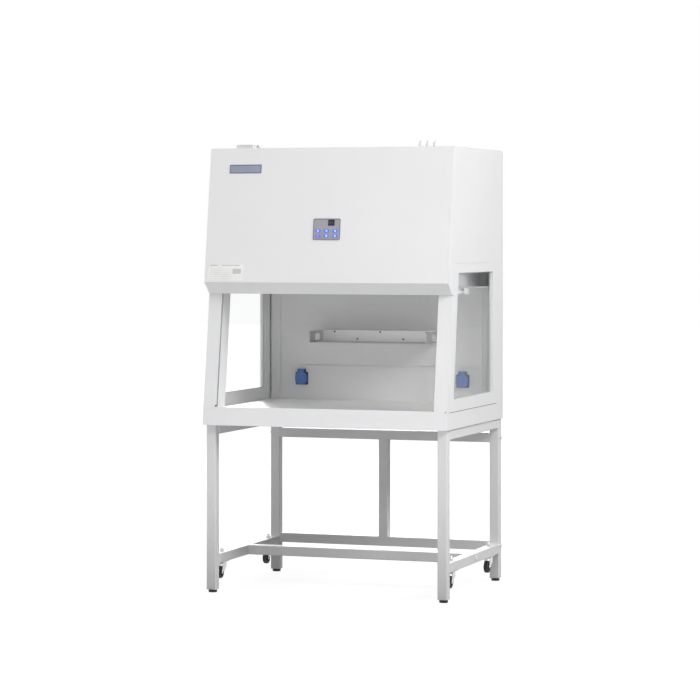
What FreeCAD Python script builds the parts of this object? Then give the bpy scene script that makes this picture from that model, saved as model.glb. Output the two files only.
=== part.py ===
import FreeCAD, Part
import os
import re
import Sketcher

# A work cabinet for preparing PCR samples, on a tube stand.
# +X is to the right, +Y to the back, +Z up. The origin lies on the floor, in the middle of the cabinet.
# Cabinet pieces are drawn with Y = 0 at the front bottom edge of the base and then placed.

SIZES = [
    ("cabinet_width", "1040", "overall width"),
    ("cabinet_depth", "800", "overall depth at the base"),
    ("body_height", "1127", "height of the cabinet without its stand"),
    ("stand_height", "684", "height of the stand"),
    ("front_angle", "8", "angle that the front leans back, in degrees"),
    ("sheet_gauge", "1.5", "thickness of the folded sheets"),
    ("seat_gap", "0.3", "clearance between pieces that seat on each other"),
    ("joint_lap", "1", "how far joined features run into each other"),
    ("notch_gap", "2", "lip of the cover to the notch in the posts and side walls"),
    ("wall_depth", "19", "thickness of the double side walls"),
    ("work_rise", "69", "stand to the work surface"),
    ("sill_rise", "5", "work surface to the top of the front sill"),
    ("sill_depth", "30", "depth of the front sill"),
    ("base_flange", "24", "width of the base's flange under the work surface"),
    ("surface_rim", "15", "depth of the work surface's turned-down rim"),
    ("rear_space", "75", "chamber's rear wall to the back of the cabinet"),
    ("back_inset", "3", "back panel to the rear edges of the side panels"),
    ("chamber_height", "487", "work surface to the ceiling of the chamber"),
    ("tube_side", "40", "side of the square stand tubes"),
    ("tube_wall", "1.5", "wall of the stand tubes"),
    ("tube_corner", "3", "outer corner radius of the stand tubes"),
    ("stand_margin", "7", "side of the cabinet to the outer face of a leg"),
    ("stand_inset", "26", "front edge of the base to the front legs"),
    ("low_rail_level", "115", "floor to the underside of the lower side rails"),
    ("cross_rail_shift", "4", "how far the lower cross rail lies behind the middle of the stand"),
    ("rear_high_drop", "61", "base to the top of the rear top rail"),
    ("rear_low_level", "129", "floor to the underside of the rear lower rail"),
    ("foot_height", "12", "height of a screwed-in foot pad"),
    ("foot_radius", "17.5", "radius of a foot pad"),
    ("stem_radius", "5", "radius of the foot's threaded stem"),
    ("stem_length", "68", "length of the threaded stem above the pad"),
    ("insert_flange", "4", "visible thickness of the leg end insert"),
    ("insert_depth", "26", "depth of the insert inside the leg"),
    ("bolt_radius", "4", "shank radius of the stand bolts"),
    ("bolt_length", "62", "shank length of the stand bolts"),
    ("bolt_head_radius", "7.5", "corner radius of the hexagon bolt heads"),
    ("bolt_head_height", "5.3", "height of the bolt heads"),
    ("washer_radius", "8.5", "radius of the washers"),
    ("washer_height", "1.6", "thickness of the washers"),
    ("castor_offset", "81", "leg to the swivel axis of a castor"),
    ("castor_trail", "23", "swivel axis to the axle"),
    ("castor_plate_width", "38", "width of the castor top plate"),
    ("castor_plate_length", "60", "length of the castor top plate"),
    ("castor_plate_height", "2.5", "thickness of the castor top plate"),
    ("race_radius", "16", "radius of the swivel race"),
    ("race_height", "4", "height of the swivel race"),
    ("kingpin_radius", "4", "radius of the kingpin"),
    ("kingpin_head_radius", "7", "radius of the kingpin's head"),
    ("kingpin_head_height", "2.6", "height of the kingpin's head"),
    ("axle_drop", "43", "rail to the axle"),
    ("fork_gauge", "2.5", "thickness of the fork sheet"),
    ("fork_half_length", "19", "half length of the fork crown"),
    ("fork_toe_radius", "9", "rounding of the fork round the axle"),
    ("axle_radius", "3", "radius of the axle"),
    ("axle_head_radius", "5", "radius of the axle heads"),
    ("axle_head_height", "2.2", "height of the axle heads"),
    ("wheel_radius", "25", "radius of a castor wheel"),
    ("wheel_width", "18", "width of a castor wheel"),
    ("wheel_rim_radius", "19", "inner radius of the tread"),
    ("wheel_hub_radius", "8", "radius of the wheel hub"),
    ("wheel_web", "6", "thickness of the wheel's web"),
    ("wheel_edge", "2.5", "bevel at the edge of the tread"),
    ("post_width", "57", "width of a front post"),
    ("post_top_gap", "21", "roof to the top of a front post"),
    ("post_depth", "92", "depth of a front post"),
    ("slot_front", "3", "front of the post to the sash slot"),
    ("slot_depth", "12", "depth of the sash slot"),
    ("slot_clearance", "0.3", "clearance of the sash glass in its slot"),
    ("glass_thickness", "5", "thickness of the window panes"),
    ("frame_rise", "590", "work surface to the top of the window frames"),
    ("side_strip", "97", "window frame to the back of the cabinet"),
    ("shadow_start", "38", "front edge of the base to the shadow line under the window frame"),
    ("shadow_height", "2", "height of the shadow line"),
    ("glass_low_rise", "49", "work surface to the bottom of the side windows"),
    ("glass_high_rise", "552", "work surface to the top of the side windows"),
    ("frame_rear_width", "54", "width of the window frame at the rear"),
    ("frame_front_width", "76", "width of the window frame at the front"),
    ("lip_rise", "465", "work surface to the bottom lip of the hood cover"),
    ("lip_height", "47", "height of the slanting lip of the hood cover"),
    ("cover_stand", "62.6", "how far the hood cover stands in front of the posts"),
    ("cover_wrap", "17", "how far the cover reaches behind the front of the posts"),
    ("lip_gap", "3", "clearance from the lip to the plane of the posts"),
    ("plenum_setback", "16", "front of the posts to the front wall of the plenum"),
    ("plenum_top_gap", "11", "roof to the top of the plenum's front wall"),
    ("filter_height", "70", "height of the filter"),
    ("filter_side_gap", "61", "chamber's side wall to the filter"),
    ("filter_front", "190", "front edge of the base to the filter"),
    ("filter_back_gap", "35", "chamber's rear wall to the filter"),
    ("filter_rim", "22", "width of the filter's frame"),
    ("filter_recess", "20", "depth of the filter's core below each face of its frame"),
    ("fan_box_height", "150", "height of the fan housing"),
    ("inlet_radius", "78", "radius of the fan inlet"),
    ("impeller_radius", "120", "radius of the impeller"),
    ("impeller_height", "62", "height of the impeller blades"),
    ("impeller_plate", "2", "thickness of the impeller's plates"),
    ("shroud_lap", "4", "how far the shroud reaches inside the blades"),
    ("impeller_gap", "5", "fan housing to the impeller"),
    ("blade_gauge", "2", "thickness of a fan blade"),
    ("blade_count", "9", "number of fan blades"),
    ("blade_sweep", "38", "angle that a blade leans back, in degrees"),
    ("fan_hub_radius", "20", "radius of the impeller's hub"),
    ("fan_shaft_radius", "6", "radius of the motor shaft"),
    ("motor_radius", "45", "radius of the fan motor"),
    ("motor_height", "48", "height of the fan motor"),
    ("bracket_height", "8", "height of the motor bracket"),
    ("bracket_width", "60", "width of the motor bracket"),
    ("lamp_end_gap", "101", "chamber's side wall to the end of a lamp"),
    ("led_radius", "8", "radius of the lighting tube"),
    ("uv_radius", "13", "radius of the ultraviolet tube"),
    ("lamp_drop", "18", "ceiling to the axis of the ultraviolet tube"),
    ("led_drop", "14", "ceiling to the axis of the lighting tube"),
    ("led_place", "200", "front edge of the base to the lighting tube"),
    ("uv_back_gap", "85", "chamber's rear wall to the ultraviolet tube"),
    ("holder_length", "14", "length of a lamp holder"),
    ("corner_strip", "49", "width of the strips beside the rear wall"),
    ("corner_gap", "4", "open gap at the rear corners of the chamber"),
    ("wall_seam_rise", "147", "work surface to the level seam of the rear wall"),
    ("seam_gap", "1", "width of the open seams"),
    ("shelf_half_width", "260", "half width of the shelf"),
    ("shelf_depth", "172", "depth of the shelf"),
    ("shelf_rise", "248", "work surface to the underside of the shelf"),
    ("shelf_height", "49", "height of the shelf's end plates"),
    ("shelf_window_low", "9", "underside of the shelf to its end windows"),
    ("shelf_window_height", "28", "height of the end windows"),
    ("shelf_window_length", "54", "length of the end windows"),
    ("shelf_window_inset", "70", "front of the shelf to the end windows"),
    ("socket_inset", "160", "side of the cabinet to the axis of a socket, before the shift"),
    ("socket_shift", "5", "how far the pair of sockets stands to the right of the middle"),
    ("socket_rise", "88", "work surface to the axis of a socket"),
    ("flange_side", "55", "side of the socket flange"),
    ("flange_height", "6", "height of the socket flange"),
    ("flange_corner", "5", "corner radius of the socket flange"),
    ("well_radius", "19.5", "radius of the socket well"),
    ("well_depth", "17.5", "depth of the socket well"),
    ("barrel_radius", "22", "outer radius of the socket behind the wall"),
    ("barrel_length", "22", "length of the socket behind the wall"),
    ("barrel_floor", "2", "floor left behind the contact holes"),
    ("contact_radius", "2.4", "radius of the contact holes"),
    ("contact_spread", "9.5", "socket axis to a contact hole"),
    ("lid_side", "51", "side of the socket lid"),
    ("lid_height", "11", "height of the socket lid"),
    ("lid_corner", "18", "corner radius of the socket lid"),
    ("lid_wall", "1.8", "wall of the socket lid"),
    ("hinge_level", "35", "socket axis to the lid hinge"),
    ("hinge_stand", "9", "wall to the lid hinge"),
    ("hinge_half_width", "17", "half width of the lid hinge"),
    ("hinge_ear", "5", "width of a hinge ear"),
    ("hinge_radius", "5", "radius of the hinge knuckles"),
    ("hinge_gap", "1", "hinge knuckle to the plate behind it"),
    ("hinge_pin_radius", "1.5", "radius of the hinge pin"),
    ("panel_rise", "215", "fold of the cover to the middle of the control panel"),
    ("panel_half_width", "58", "half width of the control panel"),
    ("panel_half_height", "43.5", "half height of the control panel"),
    ("panel_plate", "2", "thickness of the control panel's plate"),
    ("panel_corner", "6", "corner radius of the control panel"),
    ("panel_rim", "4", "edge of the plate to the rim behind it"),
    ("panel_rim_depth", "12", "depth of the rim behind the plate"),
    ("panel_rim_wall", "2", "wall of the rim"),
    ("display_place", "19", "centre of the panel to the display"),
    ("display_rise", "26.5", "middle of the panel to the middle of the display"),
    ("display_width", "27", "width of the display"),
    ("display_height", "26", "height of the display"),
    ("display_recess", "0.8", "depth of the display's recess"),
    ("key_length", "23", "length of a key"),
    ("key_height", "12", "height of a key"),
    ("key_rise", "1.2", "how far a key stands out of the plate"),
    ("key_gap", "0.3", "clearance round a key"),
    ("key_flange", "1.3", "width of the retaining flange of a key"),
    ("key_flange_height", "1.5", "thickness of the retaining flange"),
    ("key_pitch", "36.5", "spacing of the key columns"),
    ("key_row_high", "-7", "height of the upper row of keys"),
    ("key_row_low", "-27", "height of the lower row of keys"),
    ("sash_rest_rise", "6", "lip of the hood cover to the bottom of the raised sash glass"),
    ("sash_length", "488", "length of the sash glass along the slope"),
    ("sash_edge_gap", "3", "edge of the sash glass to the bottom of its slot"),
    ("handle_gauge", "2.2", "thickness of the sash rail"),
    ("handle_height", "22", "how far the sash rail covers the glass"),
    ("handle_side_gap", "8", "sash rail to the posts"),
    ("handle_ledge", "20", "depth of the finger ledge of the sash rail"),
    ("grille_slots", "12", "rows of slots in the intake grille"),
    ("grille_pitch", "16", "spacing of the intake rows"),
    ("grille_slot_length", "120", "length of an intake slot"),
    ("grille_slot_width", "6", "width of an intake slot"),
    ("diffuser_slots", "9", "rows of slots in the chamber ceiling"),
    ("diffuser_pitch", "46", "spacing of the ceiling rows"),
    ("diffuser_slot_length", "230", "length of a ceiling slot"),
    ("diffuser_slot_width", "9", "width of a ceiling slot"),
    ("top_box_width", "75", "width of the terminal box on the roof"),
    ("top_box_depth", "90", "depth of the terminal box"),
    ("top_box_height", "19", "height of the terminal box"),
    ("top_box_margin", "85", "side of the cabinet to the middle of the terminal box"),
    ("top_box_inset", "255", "front edge of the base to the terminal box"),
    ("gland_margin", "204", "side of the cabinet to the middle cable gland"),
    ("gland_pitch", "31", "spacing of the cable glands"),
    ("gland_inset", "400", "front edge of the base to the glands"),
    ("gland_height", "33", "height of a cable gland"),
    ("gland_radius", "4.5", "radius of a cable gland"),
]

# Places and lengths that follow from the sizes.
RULES = {
    "half_width": "cabinet_width / 2",
    "half_depth": "cabinet_depth / 2",
    "cabinet_height": "stand_height + body_height",
    "front_lean": "tan(front_angle * 1deg)",
    "slope_length": "1 / cos(front_angle * 1deg)",
    "work_level": "stand_height + work_rise",
    "base_top": "work_level - sheet_gauge",
    "sill_top": "work_level + sill_rise",
    "lip_level": "work_level + lip_rise",
    "fold_level": "lip_level + lip_height",
    "notch_level": "lip_level - notch_gap",
    "ceiling_level": "work_level + chamber_height",
    "roof_under": "cabinet_height - sheet_gauge",
    "wall_inner": "half_width - wall_depth",
    "post_inner": "half_width - post_width",
    "slot_back": "slot_front + (glass_thickness + 2 * slot_clearance) * slope_length",
    "rear_wall_front": "cabinet_depth - rear_space",
    "wall_seam": "wall_inner - corner_strip",
    "wall_seam_level": "work_level + wall_seam_rise",
    "frame_top": "work_level + frame_rise",
    "frame_rear": "cabinet_depth - side_strip",
    "glass_bottom": "work_level + glass_low_rise",
    "glass_top": "work_level + glass_high_rise",
    "glass_rear": "frame_rear - frame_rear_width",
    "stand_width": "cabinet_width - 2 * stand_margin",
    "leg_across": "(stand_width - tube_side) / 2",
    "front_leg_place": "stand_inset + tube_side / 2 - half_depth",
    "rear_leg_place": "half_depth - tube_side / 2",
    "stand_middle": "(front_leg_place + rear_leg_place) / 2",
    "cross_rail_place": "stand_middle + cross_rail_shift",
    "rear_high_level": "stand_height - rear_high_drop - tube_side",
    "crown_top": "castor_plate_height + race_height + seat_gap",
    "crown_bottom": "crown_top + fork_gauge",
    "arm_inner": "wheel_width / 2 + fork_gauge / 2",
    "arm_outer": "arm_inner + fork_gauge",
    "opening_side": "post_inner - base_flange / 8",
    "shelf_level": "work_level + shelf_rise",
    "socket_place": "half_width - socket_inset",
    "socket_level": "work_level + socket_rise",
    "filter_half_width": "wall_inner - filter_side_gap",
    "filter_rear": "rear_wall_front - filter_back_gap",
    "filter_middle": "(filter_front + filter_rear) / 2",
    "filter_bottom": "ceiling_level + sheet_gauge",
    "filter_top": "filter_bottom + filter_height",
    "fan_box_top": "filter_top + fan_box_height",
    "fan_place": "filter_middle - half_depth",
    "lamp_half_length": "wall_inner - lamp_end_gap",
    "uv_place": "rear_wall_front - uv_back_gap",
    "panel_level": "fold_level + panel_rise",
    "sash_rest": "lip_level + sash_rest_rise",
    "grille_front": "filter_middle - ((grille_slots - 1) * grille_pitch + grille_slot_width) / 2",
    "diffuser_front": "filter_middle - ((diffuser_slots - 1) * diffuser_pitch + diffuser_slot_width) / 2",
}

NAMES = {name for name, value, note in SIZES}

doc = FreeCAD.newDocument("pcr_cabinet")
sheet = doc.addObject("Spreadsheet::Sheet", "Sizes")
for row, (name, value, note) in enumerate(SIZES, start=1):
    sheet.set(f"A{row}", name)
    sheet.set(f"B{row}", value)
    sheet.set(f"C{row}", note)
    sheet.setAlias(f"B{row}", name)
doc.recompute()


def formula(rule):
    """A rule with each size turned into its cell of the sheet, and each named rule written out."""

    def written_out(word):
        name = word.group(0)
        if name in RULES:
            return f"({formula(RULES[name])})"
        return f"Sizes.{name}" if name in NAMES else name

    return re.sub(r"[a-z_]+", written_out, rule)


def number(rule):
    """The present value of a size rule."""
    value = sheet.evalExpression(formula(rule))
    return float(getattr(value, "Value", value))


def bind(thing, prop, rule):
    thing.setExpression(prop, formula(rule))


CORNERS = [
    ("front_left", "-leg_across", "front_leg_place"),
    ("front_right", "leg_across", "front_leg_place"),
    ("rear_left", "-leg_across", "rear_leg_place"),
    ("rear_right", "leg_across", "rear_leg_place"),
]


def front_at(level, behind="0"):
    """Distance from the base's front edge to the leaning plane of the posts, at a height."""
    return f"(front_lean * (({level}) - stand_height) + ({behind}))"


def place(thing, x="0", y="0", z="0", leaning=False):
    if leaning:
        back = FreeCAD.Rotation(FreeCAD.Vector(1, 0, 0), -number("front_angle"))
        thing.Placement = FreeCAD.Placement(FreeCAD.Vector(), back)
        bind(thing, "Placement.Rotation.Angle", "-front_angle * 1deg")
    bind(thing, "Placement.Base.x", x)
    bind(thing, "Placement.Base.y", y)
    bind(thing, "Placement.Base.z", z)
    return thing


def new_body(name):
    made = doc.addObject("PartDesign::Body", name)
    made.Label = name
    return made


def cabinet_body(name):
    """A body drawn from the front bottom edge of the base."""
    return place(new_body(name), y="-half_depth")


def sketch(owner, role, offset="0"):
    drawn = owner.newObject("Sketcher::SketchObject", owner.Name + "_sketch")
    plane = next(item for item in owner.Origin.OriginFeatures if item.Role == role)
    drawn.AttachmentSupport = [(plane, "")]
    drawn.MapMode = "FlatFace"
    bind(drawn, "AttachmentOffset.Base.z", offset)
    return drawn


def fix_point(drawn, edge, end, across, up):
    """Tie one point of a sketch to its two size rules."""
    for kind, rule in (("DistanceX", across), ("DistanceY", up)):
        at = drawn.addConstraint(Sketcher.Constraint(kind, -1, 1, edge, end, number(rule)))
        bind(drawn, f"Constraints[{at}]", rule)


def outline(drawn, corners):
    """A closed straight-sided outline with its corners at the given rules."""
    points = [FreeCAD.Vector(number(across), number(up), 0) for across, up in corners]
    first = drawn.GeometryCount
    count = len(points)
    for step in range(count):
        drawn.addGeometry(Part.LineSegment(points[step], points[(step + 1) % count]), False)
    for step in range(count):
        drawn.addConstraint(
            Sketcher.Constraint("Coincident", first + step, 2, first + (step + 1) % count, 1)
        )
        fix_point(drawn, first + step, 1, *corners[step])


def rectangle(drawn, left, low, right, high):
    outline(drawn, [(left, low), (right, low), (right, high), (left, high)])


def circle(drawn, across, up, radius):
    middle = FreeCAD.Vector(number(across), number(up), 0)
    made = drawn.addGeometry(Part.Circle(middle, FreeCAD.Vector(0, 0, 1), number(radius)), False)
    fix_point(drawn, made, 3, across, up)
    at = drawn.addConstraint(Sketcher.Constraint("Radius", made, number(radius)))
    bind(drawn, f"Constraints[{at}]", radius)


def stadium(drawn, across, up, length, height):
    """A slot outline with round ends."""
    radius = f"({height}) / 2"
    reach = f"(({length}) - ({height})) / 2"
    upward = FreeCAD.Vector(0, 0, 1)
    ends = []
    for side, start, stop in ((-1, 90, 270), (1, -90, 90)):
        middle = FreeCAD.Vector(number(across) + side * number(reach), number(up), 0)
        arc = Part.ArcOfCircle(
            Part.Circle(middle, upward, number(radius)),
            FreeCAD.Units.Quantity(start, FreeCAD.Units.Angle).getValueAs("rad").Value,
            FreeCAD.Units.Quantity(stop, FreeCAD.Units.Angle).getValueAs("rad").Value,
        )
        ends.append(drawn.addGeometry(arc, False))
    left, right = ends
    low = number(up) - number(radius)
    high = number(up) + number(radius)
    west = number(across) - number(reach)
    east = number(across) + number(reach)
    bottom = drawn.addGeometry(
        Part.LineSegment(FreeCAD.Vector(west, low, 0), FreeCAD.Vector(east, low, 0)), False
    )
    top = drawn.addGeometry(
        Part.LineSegment(FreeCAD.Vector(east, high, 0), FreeCAD.Vector(west, high, 0)), False
    )
    around = [left, bottom, right, top]
    for one, after in zip(around, around[1:] + around[:1]):
        drawn.addConstraint(Sketcher.Constraint("Tangent", one, 2, after, 1))
    drawn.addConstraint(Sketcher.Constraint("Equal", left, right))
    fix_point(drawn, left, 3, f"({across}) - {reach}", up)
    at = drawn.addConstraint(Sketcher.Constraint("DistanceX", -1, 1, right, 3, east))
    bind(drawn, f"Constraints[{at}]", f"({across}) + {reach}")
    at = drawn.addConstraint(Sketcher.Constraint("Radius", left, number(radius)))
    bind(drawn, f"Constraints[{at}]", radius)


def pad(owner, drawn, length, back=False, both=False):
    made = owner.newObject("PartDesign::Pad", owner.Name + "_pad")
    made.Profile = drawn
    made.Reversed = back
    made.SideType = "Symmetric" if both else "One side"
    bind(made, "Length", length)
    doc.recompute()
    return made


def pocket(owner, drawn, length=None, back=False, both=False):
    """A cut that must take material away."""
    before = owner.Shape.Volume
    made = owner.newObject("PartDesign::Pocket", owner.Name + "_pocket")
    made.Profile = drawn
    made.Reversed = back
    made.SideType = "Symmetric" if both else "One side"
    if length is None:
        made.Type = "ThroughAll"
    else:
        bind(made, "Length", length)
    doc.recompute()
    if owner.Shape.Volume >= before:
        raise RuntimeError(f"a pocket of {owner.Label} cuts nothing")
    return made


def revolve(owner, drawn, axis):
    made = owner.newObject("PartDesign::Revolution", owner.Name + "_turned")
    made.Profile = drawn
    made.ReferenceAxis = (drawn, [axis])
    made.Angle = 360
    doc.recompute()
    return made


def hollow(owner, solid, open_face, wall="sheet_gauge"):
    """Fold a block into an open pan: the faces that open_face picks are left out."""
    open_faces = [
        f"Face{place_in + 1}"
        for place_in, face in enumerate(solid.Shape.Faces)
        if open_face(face.normalAt(0, 0))
    ]
    made = owner.newObject("PartDesign::Thickness", owner.Name + "_pan")
    made.Base = (solid, open_faces)
    made.Reversed = True
    made.Join = 1
    bind(made, "Value", wall)
    doc.recompute()
    return made


def round_edges(owner, solid, chosen, radius):
    edges = [f"Edge{at + 1}" for at, edge in enumerate(solid.Shape.Edges) if chosen(edge)]
    made = owner.newObject("PartDesign::Fillet", owner.Name + "_rounding")
    made.Base = (solid, edges)
    bind(made, "Radius", radius)
    doc.recompute()
    return made


def runs_along(edge, axis):
    """Whether an edge is straight and parallel to an axis, given as 0, 1 or 2."""
    if len(edge.Vertexes) != 2 or edge.Curve.TypeId != "Part::GeomLine":
        return False
    way = edge.Vertexes[1].Point - edge.Vertexes[0].Point
    return abs(abs(way[axis]) - way.Length) < 1e-6


def repeat(owner, feature, drawn, axis, count, reach):
    made = owner.newObject("PartDesign::LinearPattern", owner.Name + "_rows")
    made.Originals = [feature]
    made.Direction = (drawn, [axis])
    bind(made, "Length", reach)
    bind(made, "Occurrences", count)
    owner.Tip = made
    doc.recompute()
    return made


def mirrored(name, source, middle="0"):
    """The left-hand twin of a right-hand piece, about the upright plane at a rule."""
    made = doc.addObject("Part::Mirroring", name)
    made.Label = name
    made.Source = source
    made.Normal = FreeCAD.Vector(1, 0, 0)
    bind(made, "Base.x", middle)
    return made


def group(name, pieces):
    """Like pieces that share one file."""
    made = doc.addObject("Part::Compound", name)
    made.Label = name
    made.Links = pieces
    return made


def cylinder(name, radius, height, x, y, z):
    made = doc.addObject("Part::Cylinder", name)
    made.Label = name
    bind(made, "Radius", radius)
    bind(made, "Height", height)
    return place(made, x, y, z)


# Stand

TUBE_PLANES = {"up": "XY_Plane", "across": "YZ_Plane", "deep": "XZ_Plane"}


def tube(name, way, length, x, y, z):
    """A square tube about its own axis, with rounded long edges."""
    made = place(new_body(name), x, y, z)
    section = sketch(made, TUBE_PLANES[way])
    rectangle(section, "-tube_side / 2", "-tube_side / 2", "tube_side / 2", "tube_side / 2")
    inner = "(tube_side / 2 - tube_wall)"
    rectangle(section, "-" + inner, "-" + inner, inner, inner)
    solid = pad(made, section, length, both=way != "up")
    axis = {"up": 2, "across": 0, "deep": 1}[way]

    def is_outer_corner(edge):
        return runs_along(edge, axis) and all(
            abs(abs(edge.Vertexes[0].Point[side]) - number("tube_side / 2")) < 1e-6
            for side in range(3)
            if side != axis
        )

    round_edges(made, solid, is_outer_corner, "tube_corner")
    return made


def bolt_hole(owner, along, up):
    drawn = sketch(owner, "YZ_Plane")
    circle(drawn, along, up, "bolt_radius + seat_gap")
    pocket(owner, drawn, both=True)


def make_legs():
    low = "(foot_height + insert_flange)"
    for corner, x, y in CORNERS:
        leg = tube(corner + "_leg", "up", f"stand_height - {low}", x, y, low)
        if corner.startswith("rear"):
            bolt_hole(leg, "0", f"rear_high_level + tube_side / 2 - {low}")
            bolt_hole(leg, "0", f"rear_low_level + tube_side / 2 - {low}")


def make_rails():
    between = "rear_leg_place - front_leg_place - tube_side"
    for name, level in (("top", "stand_height - tube_side"), ("lower", "low_rail_level")):
        height = f"{level} + tube_side / 2"
        right = tube(f"{name}_side_rail_right", "deep", between, "leg_across", "stand_middle", height)
        if name == "lower":
            bolt_hole(right, "cross_rail_shift", "0")
        group(f"{name}_side_rails", [right, mirrored(f"{name}_side_rail_left", right)])
    inside = "stand_width - 2 * tube_side"
    tube("rear_top_rail", "across", inside, "0", "rear_leg_place", "rear_high_level + tube_side / 2")
    tube("rear_lower_rail", "across", inside, "0", "rear_leg_place", "rear_low_level + tube_side / 2")
    tube("lower_cross_rail", "across", inside, "0", "cross_rail_place", "low_rail_level + tube_side / 2")
    post_low = "rear_low_level + tube_side"
    tube("rear_middle_post", "up", f"rear_high_level - ({post_low})", "0", "rear_leg_place", post_low)


def make_bolts():
    """Hexagon bolts that hold the cross rails between the side frames."""
    seats = [
        ("cross", "cross_rail_place", "low_rail_level + tube_side / 2"),
        ("rear_high", "rear_leg_place", "rear_high_level + tube_side / 2"),
        ("rear_low", "rear_leg_place", "rear_low_level + tube_side / 2"),
    ]
    bolts = []
    for seat, y, z in seats:
        made = place(new_body(f"bolt_{seat}"), "stand_width / 2", y, z)
        shank = sketch(made, "YZ_Plane")
        circle(shank, "0", "0", "bolt_radius")
        pad(made, shank, "bolt_length", back=True)
        washer = sketch(made, "YZ_Plane")
        circle(washer, "0", "0", "washer_radius")
        pad(made, washer, "washer_height")
        head = sketch(made, "YZ_Plane", "washer_height")
        outline(head, [
            (f"bolt_head_radius * cos({turn} * 1deg)", f"bolt_head_radius * sin({turn} * 1deg)")
            for turn in range(0, 360, 60)
        ])
        pad(made, head, "bolt_head_height")
        bolts.append(made)
        bolts.append(mirrored(f"bolt_{seat}_left", made))
    group("stand_bolts", bolts)


def make_leg_ends():
    inserts = []
    for corner, x, y in CORNERS:
        insert = place(new_body(corner + "_insert"), x, y, "foot_height")
        flange = sketch(insert, "XY_Plane")
        rectangle(flange, "-tube_side / 2", "-tube_side / 2", "tube_side / 2", "tube_side / 2")
        solid = pad(insert, flange, "insert_flange")
        round_edges(insert, solid, lambda edge: runs_along(edge, 2), "tube_corner")
        plug = sketch(insert, "XY_Plane", "insert_flange")
        side = "(tube_side / 2 - tube_wall - seat_gap)"
        rectangle(plug, "-" + side, "-" + side, side, side)
        pad(insert, plug, "insert_depth")
        bore = sketch(insert, "XY_Plane")
        circle(bore, "0", "0", "stem_radius + seat_gap")
        pocket(insert, bore, back=True)
        inserts.append(insert)
        foot = place(new_body(corner + "_foot"), x, y)
        profile = sketch(foot, "XZ_Plane")
        edge = "(foot_radius / 12)"
        top = "(foot_height - seat_gap)"
        outline(profile, [
            ("0", "0"),
            (f"foot_radius - {edge}", "0"),
            ("foot_radius", edge),
            ("foot_radius", f"{top} - {edge}"),
            (f"foot_radius - {edge}", top),
            ("stem_radius", top),
            ("stem_radius", f"{top} + stem_length"),
            ("0", f"{top} + stem_length"),
        ])
        revolve(foot, profile, "V_Axis")
    group("leg_end_inserts", inserts)


def castor_plate(name, x, y):
    """Top plate, race and kingpin. Its own origin is where the swivel axis meets the rail."""
    made = place(new_body(name), x, y, "low_rail_level")
    plate = sketch(made, "XY_Plane")
    rectangle(plate, "-castor_plate_width / 2", "-castor_plate_length / 2",
              "castor_plate_width / 2", "castor_plate_length / 2")
    pad(made, plate, "castor_plate_height", back=True)
    for radius, top, height in (
        ("race_radius", "castor_plate_height", "race_height"),
        ("kingpin_radius", "castor_plate_height + race_height", "fork_gauge + 2 * seat_gap"),
        ("kingpin_head_radius", "crown_bottom + seat_gap", "kingpin_head_height"),
    ):
        ring = sketch(made, "XY_Plane", f"-({top})")
        circle(ring, "0", "0", radius)
        pad(made, ring, height, back=True)
    return made


def castor_fork(name, x, y):
    """Folded fork with two trailing arms and its axle."""
    made = place(new_body(name), x, y, "low_rail_level")
    side = sketch(made, "YZ_Plane")
    toe_back = "(-castor_trail + 0.75 * fork_toe_radius)"
    toe_front = "(-castor_trail - fork_toe_radius)"
    toe_low = "-(axle_drop + 0.7 * fork_toe_radius)"
    shoulder = "-(crown_bottom + fork_gauge)"
    outline(side, [
        ("-fork_half_length", "-crown_top"),
        ("-fork_half_length", shoulder),
        (toe_front, "-axle_drop"),
        (f"{toe_front} + fork_toe_radius / 2", toe_low),
        (toe_back, toe_low),
        ("fork_half_length", f"{shoulder} - fork_toe_radius"),
        ("fork_half_length", "-crown_top"),
    ])
    pad(made, side, "2 * arm_outer", both=True)
    gap = sketch(made, "XZ_Plane")
    rectangle(gap, "-arm_inner", "-2 * axle_drop", "arm_inner", "-crown_bottom")
    cut = pocket(made, gap, both=True)
    short = number("2 * fork_gauge")
    low = -number("crown_bottom")

    def is_arm_corner(edge):
        return runs_along(edge, 0) and edge.Length < short and edge.Vertexes[0].Point.z < low

    round_edges(made, cut, is_arm_corner, "fork_toe_radius / 3")
    eye = sketch(made, "XY_Plane", "-crown_top")
    circle(eye, "0", "0", "kingpin_radius + seat_gap")
    pocket(made, eye, "fork_gauge")
    axle = sketch(made, "YZ_Plane")
    circle(axle, "-castor_trail", "-axle_drop", "axle_radius")
    pad(made, axle, "2 * arm_outer", both=True)
    for side_of in ("", "-"):
        head = sketch(made, "YZ_Plane", f"{side_of}arm_outer")
        circle(head, "-castor_trail", "-axle_drop", "axle_head_radius")
        pad(made, head, "axle_head_height", back=side_of == "-")
    return made


def castor_wheel(name, x, y):
    """Wheel with a bevelled tread, a thin web and a longer hub, turned about its axle."""
    made = place(new_body(name), x, f"{y} - castor_trail", "low_rail_level - axle_drop")
    half = sketch(made, "XY_Plane")
    hub = "(arm_inner - seat_gap)"
    bore = "(axle_radius + seat_gap / 2)"
    right = [
        (hub, bore),
        (hub, "wheel_hub_radius"),
        ("wheel_web / 2", "wheel_hub_radius"),
        ("wheel_width / 2", "wheel_rim_radius"),
        ("wheel_width / 2", "wheel_radius - wheel_edge"),
        ("wheel_width / 2 - wheel_edge", "wheel_radius"),
    ]
    left = [(f"-({across})", up) for across, up in reversed(right)]
    outline(half, right + left)
    revolve(made, half, "H_Axis")
    return made


def make_castors():
    plates = []
    for corner, x, y in CORNERS:
        step = "tube_side / 2 + castor_offset"
        swivel_y = f"({y} + {step})" if corner.startswith("front") else f"({y} - ({step}))"
        plates.append(castor_plate(corner + "_castor_plate", x, swivel_y))
        castor_fork(corner + "_castor_fork", x, swivel_y)
        castor_wheel(corner + "_castor_wheel", x, swivel_y)
    group("castor_plates", plates)


# Cabinet

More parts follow.
